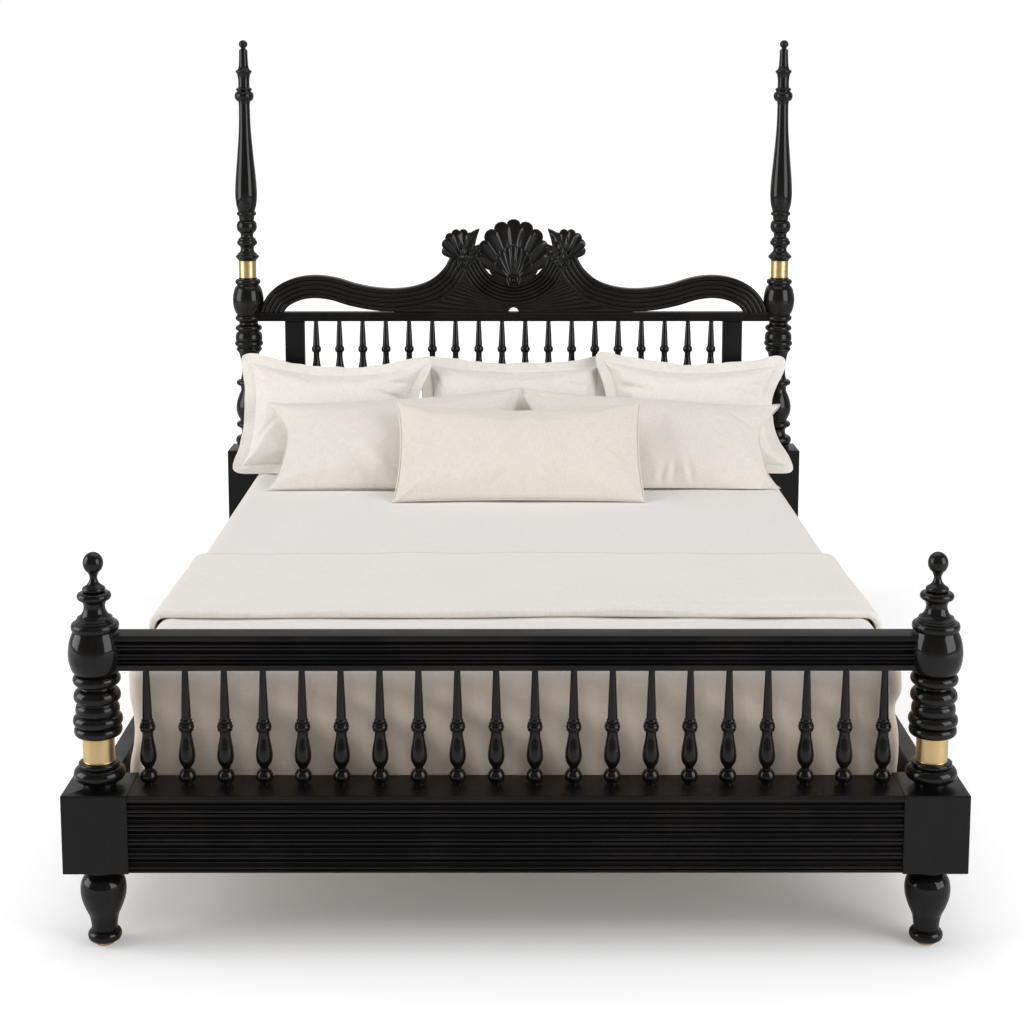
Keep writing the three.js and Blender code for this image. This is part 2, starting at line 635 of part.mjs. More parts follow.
// The tenons of both stiles, larger by a clearance where they are cut out of the rails.
function stileTenons(clear) {
  const wide = STILE_WIDTH / 2 - STILE_TENON_MARGIN + clear;
  const deep = STILE_DEPTH / 2 - STILE_TENON_MARGIN + clear;
  const z0 = HEAD_BLOCK_TOP - STILE_TENON - clear;
  const z1 = HEAD_RAIL_BOTTOM + HEAD_RAIL_BITE + clear;
  const one = (x) => block(x - wide, x + wide, HEAD_Y - deep, HEAD_Y + deep, z0, z1);
  return join(one(-STILE_X), one(STILE_X));
}

function headStile(side) {
  const [wide, deep] = [STILE_WIDTH / 2, STILE_DEPTH / 2];
  const upright = (z0, z1) => block(
    side * STILE_X - wide, side * STILE_X + wide, HEAD_Y - deep, HEAD_Y + deep, z0, z1,
  );
  const own = upright(0, HEAD_RAIL_TOP);
  return join(upright(HEAD_BLOCK_TOP + FIT, HEAD_RAIL_BOTTOM - FIT), stileTenons(0).intersect(own));
}

// A side rail on the +X side, with its reeds outwards and a tenon at each end.
function sideRail() {
  const [z0, z1] = [BLOCK_BOTTOM, FOOT_BLOCK_TOP];
  const outer = POST_X + SIDE_RAIL_DEPTH / 2;
  const section = [[RAIL_INNER_X, z1], [RAIL_INNER_X, z0]];
  section.push(...reededFace(outer, 1, z0, z1, LOWER_REEDS, LOWER_BAND));
  const end = HEAD_Y - BLOCK / 2 - FIT;
  const half = TENON_THICKNESS / 2;
  const tenon = block(POST_X - half, POST_X + half, -end - RAIL_TENON, end + RAIL_TENON, ...SIDE_TENON);
  return join(runAlongY(section, -end, end), tenon);
}

function ledger() {
  const x1 = RAIL_INNER_X - FIT;
  const y1 = HEAD_Y - BLOCK / 2 - FIT;
  return block(x1 - LEDGER_DEPTH, x1, -y1, y1, BEAM_TOP - LEDGER_HEIGHT, BEAM_TOP);
}

// Slats on two battens, which hold them at their spacing.
function slatBase() {
  const half = RAIL_INNER_X - 2 * FIT;
  const slats = rowOf(SLATS, MATTRESS_LENGTH / 2, SLAT_WIDTH / 2).map((y) =>
    block(-half, half, y - SLAT_WIDTH / 2, y + SLAT_WIDTH / 2, SLAT_BOTTOM, SLAT_TOP),
  );
  const reach = (MATTRESS_LENGTH - SLAT_WIDTH) / 2;
  const wide = BATTEN_WIDTH / 2;
  const batten = (x) => block(
    x - wide, x + wide, -reach, reach, SLAT_BOTTOM - BATTEN_THICKNESS, SLAT_BOTTOM + OVERRUN,
  );
  return join(...slats, batten(-half / 2), batten(half / 2));
}

const BEAM_FOOT_END = FOOT_Y - BLOCK / 2 + FOOT_RAIL_DEPTH + FIT;
const BEAM_HEAD_END = HEAD_Y - STRETCHER_DEPTH / 2 - FIT;

// The beam's tenons, larger by a clearance where they are cut out of the lower rails.
function beamTenon(clear) {
  const half = BEAM_WIDTH / 4 + clear;
  const z0 = BEAM_TOP - BEAM_HEIGHT + BEAM_TENON_MARGIN - clear;
  const z1 = BEAM_TOP - BEAM_TENON_MARGIN + clear;
  const bite = BEAM_TENON + clear;
  return block(-half, half, BEAM_FOOT_END - bite, BEAM_HEAD_END + bite, z0, z1);
}

// The beam under the slats, bored from below for its leg.
function centreBeam() {
  const half = BEAM_WIDTH / 2;
  const bottom = BEAM_TOP - BEAM_HEIGHT;
  const bore = pin(LEG_PIN_RADIUS + FIT, bottom - OVERRUN, bottom + LEG_PIN_LENGTH + FIT, SPINDLE_SIDES);
  return join(
    block(-half, half, BEAM_FOOT_END, BEAM_HEAD_END, bottom, BEAM_TOP),
    beamTenon(0),
  ).subtract(bore);
}

// The middle leg, with a round pin on its top.
function centreLeg() {
  const half = BEAM_LEG / 2;
  const top = BEAM_TOP - BEAM_HEIGHT - FIT;
  return join(
    block(-half, half, -half, half, 0, top),
    pin(LEG_PIN_RADIUS, top - OVERRUN, top + FIT + LEG_PIN_LENGTH, SPINDLE_SIDES),
  );
}

// A point on the crest: across the bed, above the crest's foot, and forward of its front board.
function crestPoint(x, z, forward) {
  return new THREE.Vector3(x, CREST_FRONT - forward, CREST_FOOT + z);
}

function crestBack(x, z) {
  return new THREE.Vector3(x, CREST_BACK, CREST_FOOT + z);
}

// The centre line of a crest arm on the +X side, from the post down to the dip and up to the side shell.
// Each point is a share of the way from the arm's tip to the post, and a height.
const ARM_OUTER = POST_X - CREST_END - ARM_WIDTH / 2 + ARM_LET_IN;
const armLine = new THREE.CatmullRomCurve3(
  [
    [1.01, -36],
    [1, 0],
    [0.955, 42],
    [0.87, 70],
    [0.775, 79],
    [0.68, 73],
    [0.57, 54],
    [0.455, 41],
    [0.338, 38],
    [0.23, 47],
    [0.13, 70],
    [0.048, ARM_TIP_HEIGHT - ARM_NECK],
    [0, ARM_TIP_HEIGHT],
  ].map(([share, z]) => new THREE.Vector3(ARM_TIP + share * (ARM_OUTER - ARM_TIP), 0, z)),
  false,
  "centripetal",
);

// A reeded band that follows the arm's centre line, cut off square at its foot and at the post.
function crestArm() {
  const rings = [];
  for (let s = 0; s <= ARM_STATIONS; s += 1) {
    const at = armLine.getPointAt(s / ARM_STATIONS);
    const along = armLine.getTangentAt(s / ARM_STATIONS);
    const across = new THREE.Vector3(-along.z, 0, along.x);
    const ring = [];
    for (let i = 0; i <= ARM_REEDS * 2; i += 1) {
      const offset = (i / (ARM_REEDS * 2) - 0.5) * ARM_WIDTH;
      const p = at.clone().addScaledVector(across, offset);
      ring.push(crestPoint(p.x, p.z, i % 2 ? ARM_RELIEF : 1));
    }
    const [a, b] = [0.5, -0.5].map((k) => at.clone().addScaledVector(across, k * ARM_WIDTH));
    ring.push(crestBack(a.x, a.z), crestBack(b.x, b.z));
    rings.push(ring);
  }
  const end = POST_X - CREST_END;
  return loft(rings).intersect(block(0, end, 0, POST_REACH, CREST_FOOT, CREST_FOOT + POST_SPACING));
}

// The field under the shell: reeds that curve round it as a bowl.
const FIELD_CENTRE = SHELL_CENTRE + 20;

function fieldPoint(radius, angle) {
  return [radius * Math.sin(angle), FIELD_CENTRE - radius * Math.cos(angle)];
}

function crestField() {
  const rings = [];
  const reach = 0.43 * Math.PI;
  const outer = FIELD_INNER_RADIUS + FIELD_REEDS * FIELD_PITCH;
  for (let s = 0; s <= FIELD_STATIONS; s += 1) {
    const angle = -reach + (2 * reach * s) / FIELD_STATIONS;
    const ring = [];
    for (let i = 0; i <= FIELD_REEDS * 2; i += 1) {
      const radius = FIELD_INNER_RADIUS + (i * FIELD_PITCH) / 2;
      ring.push(crestPoint(...fieldPoint(radius, angle), i % 2 ? FIELD_RELIEF : 0));
    }
    ring.push(crestBack(...fieldPoint(outer, angle)), crestBack(...fieldPoint(FIELD_INNER_RADIUS, angle)));
    rings.push(ring);
  }
  return loft(rings);
}

// The plain ground between the arms and the rail, which the field is carved from.
function crestGround() {
  const right = [0.63, 0.7, 0.78, 0.86, 0.94].map((t) => armLine.getPointAt(t)).map((p) => [p.x, p.z]);
  const left = right.map(([x, z]) => [-x, z]).reverse();
  const bowl = Array.from({ length: 7 }, (_, i) => {
    return fieldPoint(FIELD_INNER_RADIUS + FIELD_PITCH, Math.PI * (0.36 - 0.12 * i));
  });
  const outline = [[-right[0][0], 0], [right[0][0], 0], ...right, ...bowl, ...left];
  const points = outline.map(([x, z]) => [x, CREST_FOOT + z]);
  return runAlongY(points, CREST_FRONT, CREST_BACK);
}

// A scallop: ribs that fan out from a hinge to a lobed rim on a circle about a centre.
function scallop({ centre, hinge, radius, lobes, from, to, rise, depth }) {
  const rings = [];
  for (let i = 0; i <= lobes * 2; i += 1) {
    const angle = from + ((to - from) * i) / (lobes * 2);
    const ridge = i % 2 === 1;
    const reach = ridge ? radius : radius * 0.9;
    const rim = [centre[0] + reach * Math.sin(angle), centre[1] + reach * Math.cos(angle)];
    const at = (t) => [hinge[0] + (rim[0] - hinge[0]) * t, hinge[1] + (rim[1] - hinge[1]) * t];
    const lift = ridge ? rise : rise * 0.35;
    rings.push([
      crestPoint(...at(0.12), rise * 0.5),
      crestPoint(...at(0.6), lift),
      crestPoint(...at(0.94), lift * 0.75),
      crestPoint(...at(1), 0),
      crestPoint(...at(1), -depth),
      crestPoint(...at(0.12), -depth),
    ]);
  }
  return loft(rings);
}

function centralShell() {
  const hinge = [0, SHELL_CENTRE - SHELL_RADIUS * 0.68];
  const spread = 0.62 * Math.PI;
  const shared = { hinge, from: -spread, to: spread };
  const outer = scallop({
    ...shared, centre: [0, SHELL_CENTRE], radius: SHELL_RADIUS, lobes: SHELL_LOBES, rise: 9,
    depth: CREST_DEPTH - SHELL_INSET,
  });
  const fan = scallop({
    ...shared, centre: [0, SHELL_CENTRE - FAN_DROP], radius: FAN_RADIUS, lobes: FAN_LOBES, rise: 15, depth: 6,
  });
  const web = [[-82, 50], [-50, -16], [50, -16], [82, 50]];
  const ground = web.map(([x, z]) => [x, CREST_FOOT + hinge[1] + z]);
  return join(outer, fan, runAlongY(ground, CREST_FRONT, CREST_BACK));
}

// A side shell on the +X side: a lobed fan over the end of the arm, with a leaf tip towards the centre.
function sideShell() {
  const fan = scallop({
    centre: [ARM_TIP + SIDE_SHELL_LEAN / 2, ARM_TIP_HEIGHT + SIDE_SHELL_RISE],
    hinge: [ARM_TIP - SIDE_SHELL_LEAN / 2, ARM_TIP_HEIGHT],
    radius: SIDE_SHELL_RADIUS,
    lobes: SIDE_SHELL_LOBES,
    from: -0.32 * Math.PI,
    to: 0.66 * Math.PI,
    rise: 8,
    depth: CREST_DEPTH - SHELL_INSET,
  });
  const points = LEAF_OUTLINE.map(([x, z]) => [ARM_TIP + x, CREST_FOOT + ARM_TIP_HEIGHT + z]);
  return join(fan, runAlongY(points, CREST_FRONT - 2, CREST_BACK - SHELL_INSET));
}

function crest() {
  const half = join(crestArm(), sideShell());
  const hole = pin(CREST_HOLE_RADIUS, -CREST_DEPTH, CREST_DEPTH, POST_SIDES).rotate([90, 0, 0]);
  return join(half, half.mirror([1, 0, 0]), crestGround(), crestField(), centralShell())
    .subtract(hole.translate([0, HEAD_Y, CREST_FOOT]));
}

// A level ring round the bed, with rounded corners.
function roundedRing(halfX, halfY, corner, z) {
  const ring = [];
  for (const [sx, sy, start] of [[1, 1, 0], [-1, 1, 1], [-1, -1, 2], [1, -1, 3]]) {
    for (let i = 0; i <= 2; i += 1) {
      const angle = ((start + i / 2) * Math.PI) / 2;
      const x = sx * (halfX - corner) + corner * Math.cos(angle);
      const y = sy * (halfY - corner) + corner * Math.sin(angle);
      ring.push(new THREE.Vector3(x, y, z));
    }
  }
  return ring;
}

function mattress() {
  const [x, y] = [MATTRESS_WIDTH / 2, MATTRESS_LENGTH / 2];
  const level = (inset, z) => roundedRing(x - inset, y - inset, MATTRESS_CORNER, z);
  return loft([
    level(MATTRESS_EDGE, MATTRESS_BOTTOM),
    level(0, MATTRESS_BOTTOM + MATTRESS_EDGE),
    level(0, MATTRESS_TOP - MATTRESS_EDGE),
    level(MATTRESS_EDGE, MATTRESS_TOP),
  ]);
}

const SPREAD_HEM = FOOT_BLOCK_TOP - SPREAD_HEM_DROP;
const SPREAD_X = MATTRESS_WIDTH / 2 + SPREAD_SIDE;
const SPREAD_Y = -MATTRESS_LENGTH / 2 - SPREAD_FOOT;
const TUCK_X = BLOCK_INNER_X - 3;
const TUCK_Y = FOOT_Y + BLOCK / 2 + 2;

// One level of the spread: up one side, across the folded foot and back down the other side. Where it is
// tucked, its corners pass inside the foot blocks.
function spreadRing(z, inset, fold, tucked) {
  const head = MATTRESS_LENGTH / 2;
  const side = SPREAD_X - inset;
  const foot = SPREAD_Y + inset;
  const corner = tucked
    ? [[side, TUCK_Y + 12], [TUCK_X + 6, TUCK_Y + 1], [TUCK_X, TUCK_Y], [TUCK_X - 1, foot + 8]]
    : [[side, foot + 60], [side - 9, foot + 30], [side - 26, foot + 12], [side - 50, foot + 2]];
  const right = [[side, head], [side + 4 * fold, head / 3], [side, -head / 3], ...corner];
  const half = side - 60;
  const across = Array.from({ length: FOLDS * 4 + 1 }, (_, i) => {
    const t = i / (FOLDS * 4);
    const wave = 0.5 - 0.5 * Math.cos(2 * Math.PI * FOLDS * t + 0.9 * Math.sin(2 * Math.PI * t));
    return [half * (2 * t - 1), foot + FOLD_DEPTH * fold * wave];
  });
  const points = [...right.map(([x, y]) => [-x, y]), ...across, ...right.reverse()];
  return points.map(([x, y]) => new THREE.Vector3(x, y, z));
}

// The bedspread, open at the head: its folds fade out towards the rounded top edge.
function bedspread() {
  const body = loft([
    spreadRing(SPREAD_HEM, 0, 1, true),
    spreadRing(FOOT_BLOCK_TOP + 1, 0, 1, true),
    spreadRing(FOOT_BLOCK_TOP + 9, 0, 1, false),
    spreadRing(SPREAD_TOP - 75, 0, 0.9, false),
    spreadRing(SPREAD_TOP - 32, 2, 0.4, false),
    spreadRing(SPREAD_TOP - 10, 9, 0.15, false),
    spreadRing(SPREAD_TOP, 26, 0, false),
  ]);
  const x = MATTRESS_WIDTH / 2 + 3 * FIT;
  const y = MATTRESS_LENGTH / 2 + 3 * FIT;
  return body.subtract(block(-x, x, -y, POST_REACH, 0, MATTRESS_TOP + FIT));
}

// A folded blanket laid across the bed: a flat loop of cloth carried along a path over both edges. Each
// point of the path has a place and the direction that the cloth runs in there.
function blanket() {
  const hang = SPREAD_X + BLANKET_STANDOFF;
  const half = BLANKET_THICKNESS / 2;
  const level = SPREAD_TOP + FIT + half;
  const round = 24;
  const side = [
    [hang, level + half - BLANKET_DROP, 0, 1],
    [hang + 1, level - BLANKET_DROP / 2, 0, 1],
    [hang, level - round - 10, 0, 1],
    [hang - round * 0.3, level - round * 0.3, -0.7, 0.7],
    [hang - round - 10, level, -1, 0],
    [hang * 0.72, level, -1, 0],
    [hang * 0.4, level, -1, 0],
  ];
  const path = [...side, [0, level, -1, 0], ...side.map(([x, z, u, v]) => [-x, z, u, -v]).reverse()];
  const rings = path.map(([x, z, u, v], i) => {
    const wave = 7 * Math.sin(i * 1.9);
    const front = BLANKET_SETBACK - MATTRESS_LENGTH / 2 + wave;
    const back = BLANKET_SETBACK - MATTRESS_LENGTH / 2 + BLANKET_LENGTH + 0.6 * wave;
    const frontEdge = [[front + half, 1], [front, 0.1], [front + half, -1]];
    const outline = [...frontEdge, [back - half, -1], [back, 0], [back - half, 1]];
    const thin = Math.abs(v) > 0.9 ? 0.6 : 1;
    return outline.map(([y, k]) => new THREE.Vector3(x + k * half * thin * v, y, z - k * half * thin * u));
  });
  return loft(rings);
}

// A pillow that lies flat: crowned faces, sides drawn in between its corners and, where it has one, a flange.
function pillow({ width, height, thickness, flange, rim }) {
  const step = (size) => {
    const body = flange ? 1 - (2 * flange) / size : 0.93;
    return [-1, -body, -0.6, -0.2, 0.2, 0.6, body, 1];
  };
  const [us, vs] = [step(width), step(height)];
  const pull = Math.min(width, height) * 0.045;
  const bodyShare = (value, steps) => Math.min(1, Math.abs(value) / steps[6]);
  const place = (u, v, face) => {
    const x = u * (width / 2 - pull * (1 - v * v));
    const y = v * (height / 2 - pull * (1 - u * u));
    const crown = Math.pow((1 - bodyShare(u, us) ** 2.4) * (1 - bodyShare(v, vs) ** 2.4), 0.55);
    return new THREE.Vector3(x, y, face * (rim / 2 + (thickness / 2 - rim / 2) * crown));
  };
  const n = us.length;
  const grid = (face) => vs.flatMap((v) => us.map((u) => place(u, v, face)));
  const points = [...grid(1), ...grid(-1)];
  const faces = [];
  const quad = (a, b, c, d) => faces.push(a, b, c, a, c, d);
  for (let j = 0; j + 1 < n; j += 1) {
    for (let i = 0; i + 1 < n; i += 1) {
      const a = j * n + i;
      quad(a, a + 1, a + n + 1, a + n);
      quad(n * n + a, n * n + a + n, n * n + a + n + 1, n * n + a + 1);
    }
    const [low, high, left, right] = [j, (n - 1) * n + j, j * n, j * n + n - 1];
    quad(n * n + low, n * n + low + 1, low + 1, low);
    quad(high, high + 1, n * n + high + 1, n * n + high);
    quad(left, left + n, n * n + left + n, n * n + left);
    quad(n * n + right, n * n + right + n, right + n, right);
  }
  const geometry = new THREE.BufferGeometry();
  const positions = points.flatMap((p) => [p.x, p.y, p.z]);
  geometry.setAttribute("position", new THREE.Float32BufferAttribute(positions, 3));
  geometry.setIndex(faces);
  return solidOf(geometry);
}

// The three kinds of pillow, and how far each is tipped back from lying flat.
const SHAM = { width: 600, height: 388, thickness: 104, flange: 32, rim: 7, lean: 58 };
const STANDARD = { width: 722, height: 372, thickness: 104, flange: 0, rim: 5, lean: 37 };
const LUMBAR = { width: 710, height: 338, thickness: 96, flange: 0, rim: 6, lean: 42 };

// A pillow tipped back to its lean, with its middle at height 0, and how high its middle then stands.
function tipped(kind) {
  const solid = pillow(kind).rotate([kind.lean, 0, 0]);
  return { kind, solid, lift: -solid.boundingBox().min[2] };
}

// Where a row of pillows stands against the row behind it: its top edge rests on the other's face, or its
// back on the other's front, whichever brings it further forward.
function rowBefore(behind, row) {
  const [a, b] = [behind.kind, row.kind];
  const [lean, own] = [a.lean, b.lean].map(THREE.MathUtils.degToRad);
  const edgeY = (b.height / 2) * Math.cos(own);
  const edgeZ = (b.height / 2) * Math.sin(own) + row.lift - behind.lift;
  const reach = (a.thickness + b.rim) / 2 + ROW_ROOM;
  const byEdge = behind.y - edgeY - (reach - edgeZ * Math.cos(lean)) / Math.sin(lean);
  const byFace = behind.y - (a.thickness + b.thickness) / 2 / Math.sin((lean + own) / 2);
  return { ...row, y: Math.min(byEdge, byFace) };
}

const wood = new THREE.MeshStandardMaterial({ color: 0x14110f, roughness: 0.22, metalness: 0 });
const brass = new THREE.MeshStandardMaterial({ color: 0xb08d4f, roughness: 0.3, metalness: 1 });
const pine = new THREE.MeshStandardMaterial({ color: 0xc8a878, roughness: 0.6, metalness: 0 });
const linen = new THREE.MeshStandardMaterial({ color: 0xe9e3da, roughness: 0.9, metalness: 0 });
const ticking = new THREE.MeshStandardMaterial({ color: 0xf0eee9, roughness: 0.85, metalness: 0 });

const bed = new THREE.Group();

function add(group, name, solid, material) {
  const mesh = new THREE.Mesh(geometryOf(solid), material);
  mesh.name = name;
  group.add(mesh);
  return mesh;
}

// Each post and its pieces stand in a group at the post's axis; the left ones mirror the right ones.
function addPost(end, y, post, collarPiece, upperName, upper) {
  for (const [side, sign] of [["left", -1], ["right", 1]]) {
    const stand = new THREE.Group();
    stand.position.set(sign * POST_X, y, 0);
    const facing = (solid) => (sign > 0 ? solid : solid.mirror([1, 0, 0]));
    add(stand, `${end}_post_${side}`, facing(post), wood);
    add(stand, `${end}_collar_${side}`, collarPiece, brass);
    add(stand, `${end}_${upperName}_${side}`, facing(upper), wood);
    add(stand, `${end}_glide_${side}`, glide(), brass);
    bed.add(stand);
  }
}

const footCollar = collar(FOOT_COLLAR_RADIUS, FOOT_COLLAR_SEAT, FOOT_COLLAR_HEIGHT);
const headCollar = collar(HEAD_COLLAR_RADIUS, HEAD_COLLAR_SEAT, HEAD_COLLAR_HEIGHT);
const spire = upperTurning(headSpireTurning, HEAD_COLLAR_SEAT + HEAD_COLLAR_HEIGHT);
addPost("foot", FOOT_Y, footPost(), footCollar, "finial", footUpper());
addPost("head", HEAD_Y, headPost(), headCollar, "spire", spire);

add(bed, "foot_rail_lower", footLowerRail(), wood);
add(bed, "foot_rail_top", footTopRail(), wood);
const spindle = footSpindle();
FOOT_SPINDLE_XS.forEach((x, i) => {
  const name = `foot_spindle_${String(i + 1).padStart(2, "0")}`;
  add(bed, name, spindle, wood).position.set(x, FOOT_Y, 0);
});

add(bed, "head_rail_upper", headUpperRail(), wood);
add(bed, "head_rail_lower", headLowerRail(), wood);
add(bed, "head_stretcher", headStretcher(), wood);
add(bed, "head_stile_left", headStile(-1), wood);
add(bed, "head_stile_right", headStile(1), wood);
add(bed, "head_crest", crest(), wood);

const rail = sideRail();
add(bed, "side_rail_left", rail.mirror([1, 0, 0]), wood);
add(bed, "side_rail_right", rail, wood);
add(bed, "ledger_left", ledger().mirror([1, 0, 0]), pine);
add(bed, "ledger_right", ledger(), pine);
add(bed, "centre_beam", centreBeam(), pine);
add(bed, "centre_leg", centreLeg(), pine);
add(bed, "slat_base", slatBase(), pine);

add(bed, "mattress", mattress(), ticking);
add(bed, "bedspread", bedspread(), linen);
add(bed, "blanket", blanket(), linen);

// Three shams stand against the head spindles, two pillows lean on them, and a narrow one on those.
const sham = tipped(SHAM);
const shamReach = (SHAM.height / 2) * Math.cos(THREE.MathUtils.degToRad(SHAM.lean));
const shams = { ...sham, y: HEAD_Y - SHAM_TOP_ROOM - shamReach };
const middle = rowBefore(shams, tipped(STANDARD));
const front = rowBefore(middle, tipped(LUMBAR));

function addPillow(name, { solid, lift }, x, y, turn) {
  const piece = add(bed, name, solid, linen);
  piece.rotation.z = THREE.MathUtils.degToRad(turn);
  piece.position.set(x, y, SPREAD_TOP + FIT + lift);
}

const shamX = SHAM.width - SHAM_TUCK;
const middleX = (STANDARD.width + PILLOW_GAP) / 2;
addPillow("sham_left", shams, -shamX, shams.y - SHAM_SETBACK, -2);
addPillow("sham_centre", shams, 0, shams.y, 0);
addPillow("sham_right", shams, shamX, shams.y - SHAM_SETBACK, 2);
addPillow("pillow_left", middle, PILLOW_OFFSET - middleX, middle.y - SHAM_SETBACK, -1);
addPillow("pillow_right", middle, PILLOW_OFFSET + middleX, middle.y - SHAM_SETBACK, 1);
addPillow("pillow_lumbar", front, 14, front.y - SHAM_SETBACK, 0);

export default bed;
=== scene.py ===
"""Looks of a queen-size poster bed, made round its packed construction model.

The bed has turned posts with brass collars, spindled ends, reeded rails, a crest carved with scrolls and
shells, a slatted base, and a made-up mattress with six pillows. Each piece is a surface worked out with
numpy. Sizes are in millimetres in this file and become metres in the meshes. +X is to the right as seen
from the foot, +Y runs from the foot to the head, and +Z is up.
"""

import logging
import math
from collections.abc import Callable, Sequence
from dataclasses import dataclass, field
from enum import Enum

import bmesh
import bpy
import numpy as np
from mathutils import Euler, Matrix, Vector


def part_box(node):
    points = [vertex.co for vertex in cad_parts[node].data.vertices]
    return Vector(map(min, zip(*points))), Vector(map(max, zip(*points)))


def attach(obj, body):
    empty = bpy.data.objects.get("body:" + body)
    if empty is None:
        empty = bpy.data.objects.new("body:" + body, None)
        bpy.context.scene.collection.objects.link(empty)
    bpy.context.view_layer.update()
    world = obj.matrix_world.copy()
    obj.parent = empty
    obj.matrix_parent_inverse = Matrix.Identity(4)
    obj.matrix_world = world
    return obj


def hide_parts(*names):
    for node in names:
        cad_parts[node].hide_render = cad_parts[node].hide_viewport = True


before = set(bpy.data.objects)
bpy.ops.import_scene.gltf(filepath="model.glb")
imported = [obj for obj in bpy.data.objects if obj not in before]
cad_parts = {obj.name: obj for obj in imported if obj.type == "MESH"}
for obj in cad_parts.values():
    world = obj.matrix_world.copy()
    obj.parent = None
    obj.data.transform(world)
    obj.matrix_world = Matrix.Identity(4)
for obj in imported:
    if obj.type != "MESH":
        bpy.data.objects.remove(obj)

log = logging.getLogger("poster_bed")

Array = np.ndarray
Station = tuple[float, float, float | None]
Colour = tuple[float, float, float]

MM = 0.001
TINY = 1e-9  # keeps a length of nothing from being a divisor
SEED = 2495
CURVE = None  # a station's third value where the profile runs on smoothly

POST_X = 825.0  # the posts' axes
FOOT_Y = -1095.0
HEAD_Y = 1095.0
BLOCK_HALF = 65.0
BLOCK_BOTTOM = 171.0
FOOT_BLOCK_TOP = 332.0
HEAD_BLOCK_TOP = 591.0
BLOCK_INNER = POST_X - BLOCK_HALF
RAIL_TENON = POST_X - 30.0  # where the rails end that run into the round turnings
CLEAR = 0.3  # between two planed faces that meet
SIDES = (("left", -POST_X), ("right", POST_X))

PLANED_EDGE = 38.0  # degrees past which an edge isn't shaded smooth
TURNED_EDGE = 32.0
REEDED_EDGE = 30.0
CLOTH_EDGE = 80.0


class Axis(Enum):
    """The direction that a board's grain runs in."""

    X = 0
    Y = 1
    Z = 2


# Surfaces


@dataclass
class Shell:
    """A surface as points and faces.

    points: one row of x, y, z in millimetres for each point.
    quads: one row of four point numbers for each face.
    caps: the point numbers of each face with more corners.
    cut: where each point lies on the flat cloth, in millimetres, or None.
    """

    points: Array
    quads: Array
    caps: list[Array] = field(default_factory=list)
    cut: Array | None = None

    def mirrored(self) -> "Shell":
        """Returns the shell mirrored left to right, with its faces still outwards."""
        flipped = [cap[::-1] for cap in self.caps]
        return Shell(self.points * (-1, 1, 1), self.quads[:, ::-1], flipped, self.cut)


def joined(*shells: Shell) -> Shell:
    """Returns one shell that holds all the given ones side by side."""
    starts = np.cumsum([0] + [len(s.points) for s in shells[:-1]])
    points = np.concatenate([s.points for s in shells])
    quads = np.concatenate([s.quads + k for s, k in zip(shells, starts)])
    caps = [cap + k for s, k in zip(shells, starts) for cap in s.caps]
    cut = None
    if all(s.cut is not None for s in shells):
        cut = np.concatenate([s.cut for s in shells])
    return Shell(points, quads, caps, cut)


def grid_quads(rows: int, columns: int, wrap_rows: bool = False, wrap_columns: bool = False) -> Array:
    """The faces of a grid of points.

    Face (i, j) joins points (i, j), (i, j+1), (i+1, j+1), (i+1, j).

    Args:
        rows: number of rows of points.
        columns: number of points in a row.
        wrap_rows: whether the last row joins the first.
        wrap_columns: whether the last point of a row joins its first.

    Returns:
        One row of four point numbers for each face.
    """
    i = np.arange(rows if wrap_rows else rows - 1)[:, None]
    j = np.arange(columns if wrap_columns else columns - 1)[None, :]
    down, right = (i + 1) % rows, (j + 1) % columns
    corners = [i * columns + j, i * columns + right, down * columns + right, down * columns + j]
    return np.stack([np.broadcast_to(c, (i.size, j.size)) for c in corners], -1).reshape(-1, 4)


def tube(rings: Array, closed: bool = False) -> Shell:
    """A body carried along a path: ring k of the array is the section at station k.

    Args:
        rings: an array of stations by section points by three.
        closed: whether the last section joins the first; otherwise flat caps close both ends.

    Returns:
        The closed shell.
    """
    stations, size = rings.shape[:2]
    caps = [] if closed else [np.arange(size)[::-1], np.arange(size) + (stations - 1) * size]
    return Shell(rings.reshape(-1, 3), grid_quads(stations, size, closed, True), caps)


def smooth_curve(stations: Array, step: float) -> Array:
    """Points on a smooth curve through stations.

    Between stations p and q with tangents a and b the curve is the cubic
    p(1 + 2t)(1 - t)^2 + q t^2 (3 - 2t) + a t (1 - t)^2 - b t^2 (1 - t),
    where a tangent is the mean slope of the two runs beside it, times the run's length.

    Args:
        stations: one row for each station.
        step: longest distance between two points of the result.

    Returns:
        The curve's points, both ends included.
    """
    stations = np.asarray(stations, float)
    length = np.maximum(np.linalg.norm(np.diff(stations, axis=0), axis=1), TINY)
    slope = np.diff(stations, axis=0) / length[:, None]
    tangent = np.concatenate([slope[:1], (slope[1:] + slope[:-1]) / 2, slope[-1:]])
    counts = np.maximum(np.ceil(length / step).astype(int), 2)
    run = np.repeat(np.arange(len(length)), counts)
    first = np.cumsum(counts) - counts
    t = ((np.arange(len(run)) - first[run]) / counts[run])[:, None]
    p, q = stations[run], stations[run + 1]
    a, b = tangent[run] * length[run, None], tangent[run + 1] * length[run, None]
    back = 1 - t
    inner = p * (1 + 2 * t) * back**2 + q * t**2 * (3 - 2 * t) + a * t * back**2 - b * t**2 * back
    return np.concatenate([inner, stations[-1:]])


